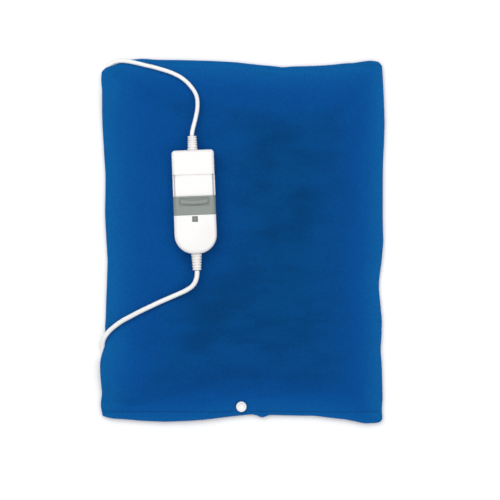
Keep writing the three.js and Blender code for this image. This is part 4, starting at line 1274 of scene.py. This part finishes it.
@dataclass
class PressStud:
    """The white press stud in the hem: a dished cap on the front and a plain cap behind."""

    workshop: Workshop
    x: float = STUD_X
    y: float = STUD_Y
    cap_base: float = 8.1
    cap_rise: float = 1.8
    cap_radius: float = 5.75
    cap_round: float = 1.2
    shoulder: float = 0.6
    foot_round: float = 0.25
    shank: float = 2.0
    # Radius, and depth under the top
    dish: Curve = ((4.1, 0.1), (3.75, 0.45), (3.55, 0.95), (3.2, 1.2), (0.9, 1.28))

    def build(self) -> None:
        """Models the front cap and the back cap."""
        rise, radius = self.cap_rise, self.cap_radius
        profile = [
            (self.shank, -self.shank), (self.shank, 0.0),
            (radius - self.foot_round, 0.0), (radius, self.foot_round), (radius, self.shoulder),
        ]
        profile += quarter_round(radius, self.shoulder, self.cap_round, rise - self.shoulder, 8)
        cap = turned(profile + [(across, rise - down) for across, down in self.dish], 48)
        set_down(cap, (self.x, self.y, self.cap_base), 0, lying=False)
        self.workshop.finish(cap, "stud_front_cap", FINISHES.shell, ("stud_cap",))
        back = merged_copy("stud_back_cap")
        soften(back, 0.2, 2)
        self.workshop.finish(back, "stud_rear_cap", FINISHES.shell, ("stud_back_cap",))


# Pad


@dataclass
class Outline:
    """How far each edge of the pad is drawn in, in millimetres, at places along it in millimetres."""

    left: Curve = (
        (-200, 3.0), (-194, 1.8), (-189, 0.8), (-185.5, 0.6), (-174.4, 2.3), (-152.5, 0.4), (-141.6, 0.0),
        (-136.4, 0.4), (-131.5, 1.0), (-127.3, 2.6), (-121, 4.7), (-116, 5.8), (-110, 5.8), (-98, 5.4),
        (-86.8, 6.2), (-64.9, 6.8), (-43, 7.7), (-21.1, 8.3), (11.7, 6.5), (33.6, 5.4), (60, 6.0),
        (77.4, 6.0), (99.3, 4.7), (132.1, 2.8), (150, 2.3), (176, 2.3), (186.9, 1.1), (200, 2.2),
    )
    right: Curve = (
        (-200, 2.4), (-196.3, 2.4), (-185.4, 3.2), (-174.4, 2.2), (-141.6, 3.1), (-130.6, 3.6), (-119.7, 4.6),
        (-108.7, 3.6), (-86.8, 3.0), (-64.9, 5.1), (-54, 6.2), (-43, 6.2), (-21.1, 3.3), (0.8, 1.4),
        (22.7, 2.1), (66.5, 2.1), (88.4, 1.8), (110.3, 0.8), (132.1, 0.0), (154, 0.7), (176, 1.6), (200, 3.2),
    )
    top: Curve = (
        (-156, 11.4), (-149, 9.2), (-144, 7.6), (-138, 5.2), (-133, 3.2), (-128, 1.6), (-111.7, 0.0),
        (-94.2, 1.3), (-67.9, 1.6), (-32.8, 2.5), (-6.6, 4.0), (19.7, 6.9), (37.2, 8.4), (46, 9.6),
        (54.8, 8.6), (81, 8.0), (98.5, 6.9), (116, 5.0), (124, 4.8), (133.6, 3.4), (142.3, 2.1),
        (151.1, 3.0), (156, 4.6),
    )
    bottom: Curve = (
        (-156, 8.3), (-146.7, 5.7), (-129.2, 4.6), (-111.7, 3.0), (-85, 2.0), (-59.1, 3.1), (-41.6, 4.3),
        (-24.1, 6.5), (-6.6, 8.5), (10.9, 10.2), (16.5, 9.4), (20, 6.3), (24, 6.6), (28.5, 9.5),
        (54.8, 8.9), (81, 8.5), (98.5, 6.3), (116, 4.4), (124.8, 2.6), (136, 0.1), (151.1, 0.8), (156, 2.5),
    )
    steps: int = 400
    window: int = 15

    def at(self, table: Curve, places: np.ndarray) -> np.ndarray:
        """Reads how far an edge is drawn in.

        Args:
            table: One of the edges.
            places: Where along it, in millimetres.

        Returns:
            The distances in millimetres.
        """
        known = np.array(table)
        fine = np.linspace(known[0, 0], known[-1, 0], self.steps)
        drawn = np.interp(fine, known[:, 0], known[:, 1])
        kernel = np.hanning(self.window) / np.hanning(self.window).sum()
        smooth = np.convolve(np.pad(drawn, self.window // 2, mode="edge"), kernel, mode="valid")
        return np.interp(places, fine, smooth)


@dataclass
class Pad:
    """The cloth cover in two panels, sewn round three edges and hemmed at the fourth, and what is in it."""

    workshop: Workshop
    outline: Outline = field(default_factory=Outline)
    width: float = 312.0
    length: float = 400.0
    columns: int = 156
    rows: int = 190
    crowding: float = 0.62
    cloth: float = 1.2
    hem: float = 11.0
    hem_round: float = 1.2
    hem_fall: float = 0.7
    lowest: float = 0.35
    seam_round: float = 2.4
    stitch_line: float = -187.0
    stitch_pitch: float = 3.4
    stitch_gap: float = 7.5
    stitch_span: tuple[float, float] = (-148.0, 150.0)
    stitch_lift: float = 0.12
    stitch_sway: float = 0.3
    sway_length: float = 23.0
    groove_width: float = 1.3
    groove_depth: float = 0.45
    deepest_sink: float = 0.55
    highest_rise: float = 2.2
    fold_rise: float = 2.2
    sewn_rim: float = 2.0
    spare_cloth: float = 0.0015
    sim_scale: float = 10.0
    sim_bending: float = 40.0
    sim_frames: int = 20
    # How far the painted light on the cloth spreads from the edges and round the controller
    painted_light_width: float = 105.0
    left_share: float = 0.74
    hem_share: float = 0.8
    painted_case_light: float = 0.5
    painted_case_light_width: float = 60.0
    wadding_gap: float = 0.25
    stud_ring: float = 6.3
    ring_width: float = 1.5
    stud_press: float = 0.8
    stud_hole: float = 7.0
    corner_rounds: tuple[tuple[int, int, float], ...] = ((0, 0, 1.5), (1, 0, 4.0), (0, 1, 5.5), (1, 1, 5.0))
    cord_gap: float = 0.45
    cord_steps: int = 9
    cord_still: float = 3.0
    cord_fade: float = 9.0
    case_half: tuple[float, float] = (23.0, 56.0)
    case_still: tuple[float, float] = (24.0, 58.0)
    case_fade: float = 14.0
    crease_y: float = -175.5
    crease_length: float = 5.0
    crease_width: float = 0.9
    crease_depth: float = 0.9

    def build(self) -> None:
        """Models covers, stitches, padding and wire."""
        self.lay_grid()
        front = self.panel(1)
        back = self.panel(-1)
        for piece, name, node in (
            (front, "front_cover_cloth", "cover_front_panel"),
            (back, "back_cover_cloth", "cover_back_panel"),
        ):
            self.workshop.finish(piece, name, FINISHES.cloth, (node,), smooth_angle=60)
        stitches = self.stitches("front_cover_cloth", 1)
        rear_stitches = self.stitches("back_cover_cloth", -1)
        front_wadding = self.layer("insert_front_layer", "front_wadding", front, 1)
        back_wadding = self.layer("insert_back_layer", "back_wadding", back, -1)
        wire = merged_copy("heating_wire")
        self.workshop.finish(
            wire, "insulated_heating_wire", FINISHES.wire, ("heating_wire",), smooth_angle=70
        )

    def lay_grid(self) -> None:
        """Works out the places and heights of both panels' points from the outline and the solids."""
        u = np.linspace(0, 1, self.columns + 1)
        v = np.linspace(0, 1, self.rows + 1)
        u = u - self.crowding * np.sin(2 * math.pi * u) / (2 * math.pi)
        v = v - self.crowding * np.sin(2 * math.pi * v) / (2 * math.pi)
        self.u, self.v = np.meshgrid(u, v)
        across = (self.u - 0.5) * self.width
        along = (self.v - 0.5) * self.length
        edge = self.outline
        left = -self.width / 2 + edge.at(edge.left, along)
        right = self.width / 2 - edge.at(edge.right, along)
        low = -self.length / 2 + edge.at(edge.bottom, across)
        high = self.length / 2 - edge.at(edge.top, across)
        self.x = left + (right - left) * self.u
        self.y = low + (high - low) * self.v
        self.side_distance = np.minimum(
            np.minimum(self.u, 1 - self.u) * self.width, (1 - self.v) * self.length
        )
        self.hem_distance = self.v * self.length
        self.round_corners()
        self.top = self.heights("cover_front_panel", 1)
        self.bottom = self.heights("cover_back_panel", -1)
        self.make_room_for(PAD_LEAD_ROUTE, radius=2.25, over_until=17.0, under_from=18.0)
        self.make_room_for(MAINS_LEAD_ROUTE, radius=2.8, over_until=16.0, under_from=16.5)
        self.middle = (self.top + self.bottom) / 2

    def round_corners(self) -> None:
        """Turns the four sharp corners of the outline in a small round."""
        for right, high, radius in self.corner_rounds:
            across = (1 - self.u if right else self.u) * self.width
            along = (1 - self.v if high else self.v) * self.length
            p = np.clip(1 - across / radius, 0, 1)
            q = np.clip(1 - along / radius, 0, 1)
            self.x += (1 - 2 * right) * radius * p * (1 - np.sqrt(1 - q * q / 2))
            self.y += (1 - 2 * high) * radius * q * (1 - np.sqrt(1 - p * p / 2))

    def make_room_for(self, route: tuple, radius: float, over_until: float, under_from: float) -> None:
        """Presses the pad down under a cord that lies on it, and lifts it over one that runs beneath.

        Args:
            route: The cord's points in millimetres.
            radius: The radius of the cord, or a little more.
            over_until: The count of points up to which the cord lies on the pad.
            under_from: The count of points from which it runs beneath the pad.
        """
        reach = radius + self.cord_gap
        for number, (start, end) in enumerate(zip(route, route[1:])):
            for share in np.linspace(0, 1, self.cord_steps):
                px, py, pz = (a + (b - a) * share for a, b in zip(start, end))
                room = np.sqrt(np.maximum(reach ** 2 - (self.x - px) ** 2 - (self.y - py) ** 2, 0))
                if number + share <= over_until:
                    self.top = np.where(room > 0, np.minimum(self.top, pz - room), self.top)
                elif number + share >= under_from:
                    self.bottom = np.where(room > 0, np.maximum(self.bottom, pz + room), self.bottom)
        self.bottom = self.smooth(self.bottom, 2)
        self.top = self.smooth(np.maximum(self.top, self.bottom + 2 * self.cloth), 2)

    def heights(self, node: str, side: int) -> np.ndarray:
        """Feels the outside of a panel's solid from above or below.

        Args:
            node: The solid's name.
            side: 1 for its top, -1 for its underside.

        Returns:
            The smoothed heights in millimetres.
        """
        tree = BVHTree.FromObject(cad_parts[node], bpy.context.evaluated_depsgraph_get())
        start, way = side * 0.2, Vector((0, 0, -side))
        found = np.full(self.x.shape, np.nan)
        for index in np.ndindex(self.x.shape):
            # Where the rim misses the solid, it is felt again a little further in
            for draw in (0.999, 0.993, 0.985, 0.97):
                x, y = self.x[index] * draw * MM, self.y[index] * draw * MM
                hit = tree.ray_cast(Vector((x, y, start)), way)[0]
                if hit is not None:
                    found[index] = hit.z / MM
                    break
        hole = np.hypot(self.x - STUD_X, self.y - STUD_Y) < self.stud_hole
        found[hole] = np.nan
        return self.smooth(self.fill(found))

    @staticmethod
    def around(found: np.ndarray, **rim: object) -> np.ndarray:
        """Gives the four neighbours of each point of a field, which is padded at its rim."""
        padded = np.pad(found, 1, **rim)
        return np.stack([padded[:-2, 1:-1], padded[2:, 1:-1], padded[1:-1, :-2], padded[1:-1, 2:]])

    def fill(self, found: np.ndarray) -> np.ndarray:
        """Fills gaps in a field of heights from the nearest known neighbours."""
        while np.isnan(found).any():
            around = self.around(found, constant_values=np.nan)
            known = ~np.isnan(around)
            count = known.sum(axis=0)
            total = np.where(known, around, 0).sum(axis=0)
            gap = np.isnan(found) & (count > 0)
            found[gap] = total[gap] / count[gap]
        return found

    def smooth(self, found: np.ndarray, passes: int = 20) -> np.ndarray:
        """Evens out the facets of a field of heights."""
        for _ in range(passes):
            found = 0.5 * found + 0.125 * self.around(found, mode="edge").sum(axis=0)
        return found

    def swells(self, across: float, along: float, layer: float, slant: float = 0.0) -> np.ndarray:
        """Draws smooth noise over the pad.

        Args:
            across: The size of its swells across the pad, in millimetres.
            along: Their size along the pad.
            layer: Where the noise is cut, which sets its pattern.
            slant: How far the swells lie aslant, as the slope of a line.

        Returns:
            The noise at each point, from -1 to 1.
        """
        cut = np.vectorize(lambda x, y: noise.noise(Vector((x, y, layer))))
        return cut((self.x + slant * self.y) / across, (self.y - slant * self.x) / along)

    def drawn_puckers(self) -> np.ndarray:
        """Draws soft puckers, which the slack cloth starts from.

        Returns:
            How far each point rises, in millimetres.
        """
        gather = self.swells(60, 11, 9.7) * np.exp(-self.side_distance / 16)
        gather += self.swells(12, 60, 3.9) * np.exp(-self.hem_distance / 18)
        rise = 1.3 * self.swells(75, 95, 0.3) + 0.45 * self.swells(30, 42, 5.1) + 1.1 * gather
        return rise * self.away()

    def lying_folds(self) -> np.ndarray:
        """Draws the low folds that lie across the middle of the pad, in patches.

        Returns:
            How far each point rises, in millimetres.
        """
        fold = 0.3 + self.fold_rise * self.swells(38, 13, 7.3, 0.16)
        patch = np.maximum(0.55 + 0.9 * self.swells(70, 55, 2.6), 0.0)
        inner = 1 - np.exp(-((np.minimum(self.side_distance, self.hem_distance) / 55) ** 2))
        return fold * patch * inner * self.away()

    def puckers(self) -> np.ndarray:
        """Settles the slack front as cloth and caps how far its points move.

        Returns:
            How far each point rises, in millimetres.
        """
        rise = self.drawn_puckers()
        rise = self.smooth(self.settled(rise), 6)
        rise += self.lying_folds()
        low, high = self.deepest_sink, self.highest_rise
        return np.where(rise < 0, low * np.tanh(rise / low), high * np.tanh(rise / high))

    def settled(self, start: np.ndarray) -> np.ndarray:
        """Lets the front panel buckle as cloth that is cut a little too large for its seams.

        Args:
            start: How far each point rises at the start, in millimetres.

        Returns:
            How far each point has risen when the cloth is still, in millimetres.
        """
        cloth, at = self.skin(self.top + start, self.sim_scale)
        at_rim = np.minimum(self.side_distance, self.hem_distance) < self.sewn_rim
        held = at_rim | (self.away() < 0.02)
        pins = cloth.vertex_groups.new(name="held")
        pins.add([int(index) for index in np.flatnonzero(held[at])], 1.0, "REPLACE")
        modifier = cloth.modifiers.new("slack_cloth", "CLOTH")
        for name, value in {
            "quality": 4,
            "mass": 0.3,
            "tension_stiffness": 15,
            "compression_stiffness": 15,
            "shear_stiffness": 5,
            "bending_stiffness": self.sim_bending,
            "shrink_min": -self.spare_cloth,
            "vertex_group_mass": pins.name,
        }.items():
            setattr(modifier.settings, name, value)
        modifier.settings.effector_weights.gravity = 0
        modifier.point_cache.frame_start = 1
        modifier.point_cache.frame_end = self.sim_frames
        for number in range(1, self.sim_frames + 1):
            bpy.context.scene.frame_set(number)
        pick_only(cloth)
        bpy.ops.object.modifier_apply(modifier=modifier.name)
        bpy.context.scene.frame_set(1)
        settled = np.array([vertex.co.z for vertex in cloth.data.vertices]) / (self.sim_scale * MM)
        rise = np.zeros(self.x.shape)
        rise[at] = settled - self.top[at]
        bpy.data.objects.remove(cloth, do_unlink=True)
        return rise

    def off_case(self, half_width: float, half_length: float) -> tuple[np.ndarray, np.ndarray]:
        """Gives how far each point lies beside a field round the controller, and beyond it."""
        return np.abs(self.x - CASE_X) - half_width, np.abs(self.y - CASE_Y) - half_length

    def away(self) -> np.ndarray:
        """Gives 0 under the controller and the cords, and 1 away from them."""
        share = np.ones(self.x.shape)
        # Each cord counts as far as it shows
        for route, shown in ((PAD_LEAD_ROUTE, 19), (MAINS_LEAD_ROUTE, 17)):
            for start, end in zip(route[:shown], route[1:shown + 1]):
                for px, py in np.linspace(start[:2], end[:2], self.cord_steps):
                    distance = np.hypot(self.x - px, self.y - py)
                    share = np.minimum(share, eased((distance - self.cord_still) / self.cord_fade))
        across, along = self.off_case(*self.case_still)
        return np.minimum(share, eased(np.maximum(across, along) / self.case_fade))

    def skin(self, heights: np.ndarray, scale: float = 1.0) -> tuple[Piece, tuple[np.ndarray, np.ndarray]]:
        """Adds a fine grid with its points at the pad's places.

        Args:
            heights: The points' heights in millimetres.
            scale: How many times its real size it is.

        Returns:
            The skin, and the row and the column of each of its points.
        """
        bpy.ops.object.select_all(action="DESELECT")
        bpy.ops.mesh.primitive_grid_add(x_subdivisions=self.columns, y_subdivisions=self.rows, size=1)
        piece = bpy.context.object
        grid = np.array([vertex.co[:] for vertex in piece.data.vertices])
        column = np.rint((grid[:, 0] + 0.5) * self.columns).astype(int)
        row = np.rint((grid[:, 1] + 0.5) * self.rows).astype(int)
        points = np.stack([self.x, self.y, heights], axis=-1)[row, column]
        piece.data.vertices.foreach_set("co", (points * scale * MM).ravel())
        return piece, (row, column)

    @staticmethod
    def rolled(distance: np.ndarray, radius: float) -> np.ndarray:
        """Follows a quarter round: 0 at an edge and 1 from its radius inwards."""
        return np.sqrt(1 - (1 - np.clip(distance / radius, 0, 1)) ** 2)

    def panel(self, side: int) -> Piece:
        """Models one cover panel on a fine grid.

        Args:
            side: 1 for the front, -1 for the back.

        Returns:
            The panel, with its thickness.
        """
        outer = self.top if side > 0 else self.bottom
        rolled = self.rolled(self.side_distance, self.seam_round)
        height = self.middle + (outer - self.middle) * rolled
        if side > 0:
            height = height + self.puckers() * rolled
        height = height - side * self.hem_fall * (1 - self.rolled(self.hem_distance, self.hem_round))
        groove = np.exp(-(((self.y - self.stitch_line) / self.groove_width) ** 2))
        height = height - side * self.groove_depth * groove * rolled
        along = ((self.y - self.crease_y) / self.crease_width) ** 2
        across = (self.u * self.width / self.crease_length) ** 4
        height = height - side * self.crease_depth * np.exp(-(along + across))
        height = np.maximum(height, self.lowest) if side < 0 else height
        piece, at = self.skin(height)
        # The share of painted light, which the cloth's material reads
        attribute = piece.data.attributes.new("painted_light_share", "FLOAT", "POINT")
        attribute.data.foreach_set("value", self.painted_light()[at].astype(np.float32))
        if side < 0:
            with editing(piece):
                bpy.ops.mesh.flip_normals()
        double = piece.vertex_groups.new(name="hem_fold")
        for index, distance in enumerate(self.hem_distance[at]):
            double.add([index], 1.0 if distance < self.hem else 0.5, "REPLACE")
        self.press_round_stud(piece, side)
        modify(
            piece, "SOLIDIFY", thickness=2 * self.cloth * MM, offset=-1.0, vertex_group="hem_fold",
            use_even_offset=False,
        )
        return piece

    def painted_light(self) -> np.ndarray:
        """Gives the share of painted light on the cloth: fully at the edges, half round the controller,
        fading inwards.
        """
        left, right = self.u * self.width * self.left_share, (1 - self.u) * self.width
        ends = np.minimum((1 - self.v) * self.length, (self.hem_distance + self.hem) * self.hem_share)
        at_edge = 1 - eased(np.minimum(np.minimum(left, right), ends) / self.painted_light_width)
        from_case = np.hypot(*(np.maximum(off, 0) for off in self.off_case(*self.case_half)))
        at_case = self.painted_case_light * (1 - eased(from_case / self.painted_case_light_width))
        return 1 - (1 - at_edge) * (1 - at_case)

    def press_round_stud(self, piece: Piece, side: int) -> None:
        """Presses a ring into the cloth round the rim of the press stud.

        Args:
            piece: The panel, still a single skin.
            side: 1 for the front, -1 for the back.
        """
        middle = Vector((STUD_X, STUD_Y))
        near = 2 * self.stud_hole
        split_edges(piece, lambda a, b: max((a.xy - middle).length, (b.xy - middle).length) < near, 3)
        for vertex in piece.data.vertices:
            off = (vertex.co.xy / MM - middle).length - self.stud_ring
            vertex.co.z -= side * self.stud_press * math.exp(-((off / self.ring_width) ** 2)) * MM

    def stitches(self, cover: str, side: int) -> Piece:
        """Sews the hem: one stitch is modelled, then copied along the line.

        Args:
            cover: The name of the panel that the stitches show on.
            side: 1 for the front, -1 for the back.

        Returns:
            All the stitches as one piece.
        """
        tree = BVHTree.FromObject(bpy.data.objects[cover], bpy.context.evaluated_depsgraph_get())
        first = turned([(0.16, -1.25), (0.3, -0.9), (0.34, 0.0), (0.3, 0.9), (0.16, 1.25)], 8)
        pieces = []
        x, last = self.stitch_span
        while x < last:
            if abs(x - STUD_X) > self.stitch_gap:
                y = self.stitch_line + self.stitch_sway * math.sin(x / self.sway_length)
                hit = tree.ray_cast(Vector((x * MM, y * MM, side * 0.2)), Vector((0, 0, -side)))[0]
                if hit is not None:
                    place = (x, y, hit.z / MM + side * self.stitch_lift)
                    pieces.append(set_down(new_object("stitch", first.data.copy()), place, 90))
            x += self.stitch_pitch
        bpy.data.objects.remove(first, do_unlink=True)
        pick_only(*pieces)
        bpy.ops.object.join()
        name = "hem_stitches" if side > 0 else "rear_hem_stitches"
        return self.workshop.finish(bpy.context.object, name, FINISHES.thread)

    def layer(self, node: str, name: str, cover: Piece, side: int) -> Piece:
        """Shapes a padding layer from its solid, rounds its facets and keeps it just inside its cover.

        Args:
            node: The solid's name.
            name: The piece's name.
            cover: The panel that covers it.
            side: 1 for the front, -1 for the back.

        Returns:
            The layer.
        """
        piece = merged_copy(node)
        modify(piece, "SUBSURF", levels=1, render_levels=1, subdivision_type="CATMULL_CLARK")
        tree = BVHTree.FromObject(cover, bpy.context.evaluated_depsgraph_get())
        start, way = -side * 0.1, Vector((0, 0, side))
        for vertex in piece.data.vertices:
            hit = tree.ray_cast(Vector((vertex.co.x, vertex.co.y, start)), way)[0]
            if hit is not None:
                limit = hit.z - side * self.wadding_gap * MM
                vertex.co.z = side * min(side * vertex.co.z, side * limit)
        return self.workshop.finish(piece, name, FINISHES.wadding, (node,), smooth_angle=60)


# What stays as it is


@dataclass
class CarriedOver:
    """Solids whose shape is right: they keep it and get their real finish."""

    workshop: Workshop

    def dress(self) -> None:
        """Dresses each solid that no piece stands for."""
        by_slot = {
            Slot.WHITE_SHELL: FINISHES.shell,
            Slot.INDICATOR_LENS: FINISHES.lens,
            Slot.INNER_PLASTIC: FINISHES.nylon,
            Slot.CIRCUIT_BOARD: FINISHES.board,
            Slot.CONTACT_METAL: FINISHES.brass,
            Slot.STEEL: FINISHES.nickel,
        }
        for name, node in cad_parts.items():
            if node.hide_render:
                continue
            finish = by_slot[Slot(node.data.materials[0].name.split(".")[0])]
            self.workshop.dress(node, finish)
            log.info("%s keeps its shape and is dressed as %s", name, finish.name)


def main() -> None:
    """Builds camera and cords, then the pad, the controller and the small pieces."""
    logging.basicConfig(level=logging.INFO, format="%(name)s: %(message)s")
    workshop = Workshop()
    Studio().build()
    Cords(workshop).build(Plug(workshop).build())
    Pad(workshop).build()
    Controller(workshop).build()
    PressStud(workshop).build()
    CarriedOver(workshop).dress()
    log.info("%d pieces finished", workshop.finished)


if __name__ == "__main__":
    main()
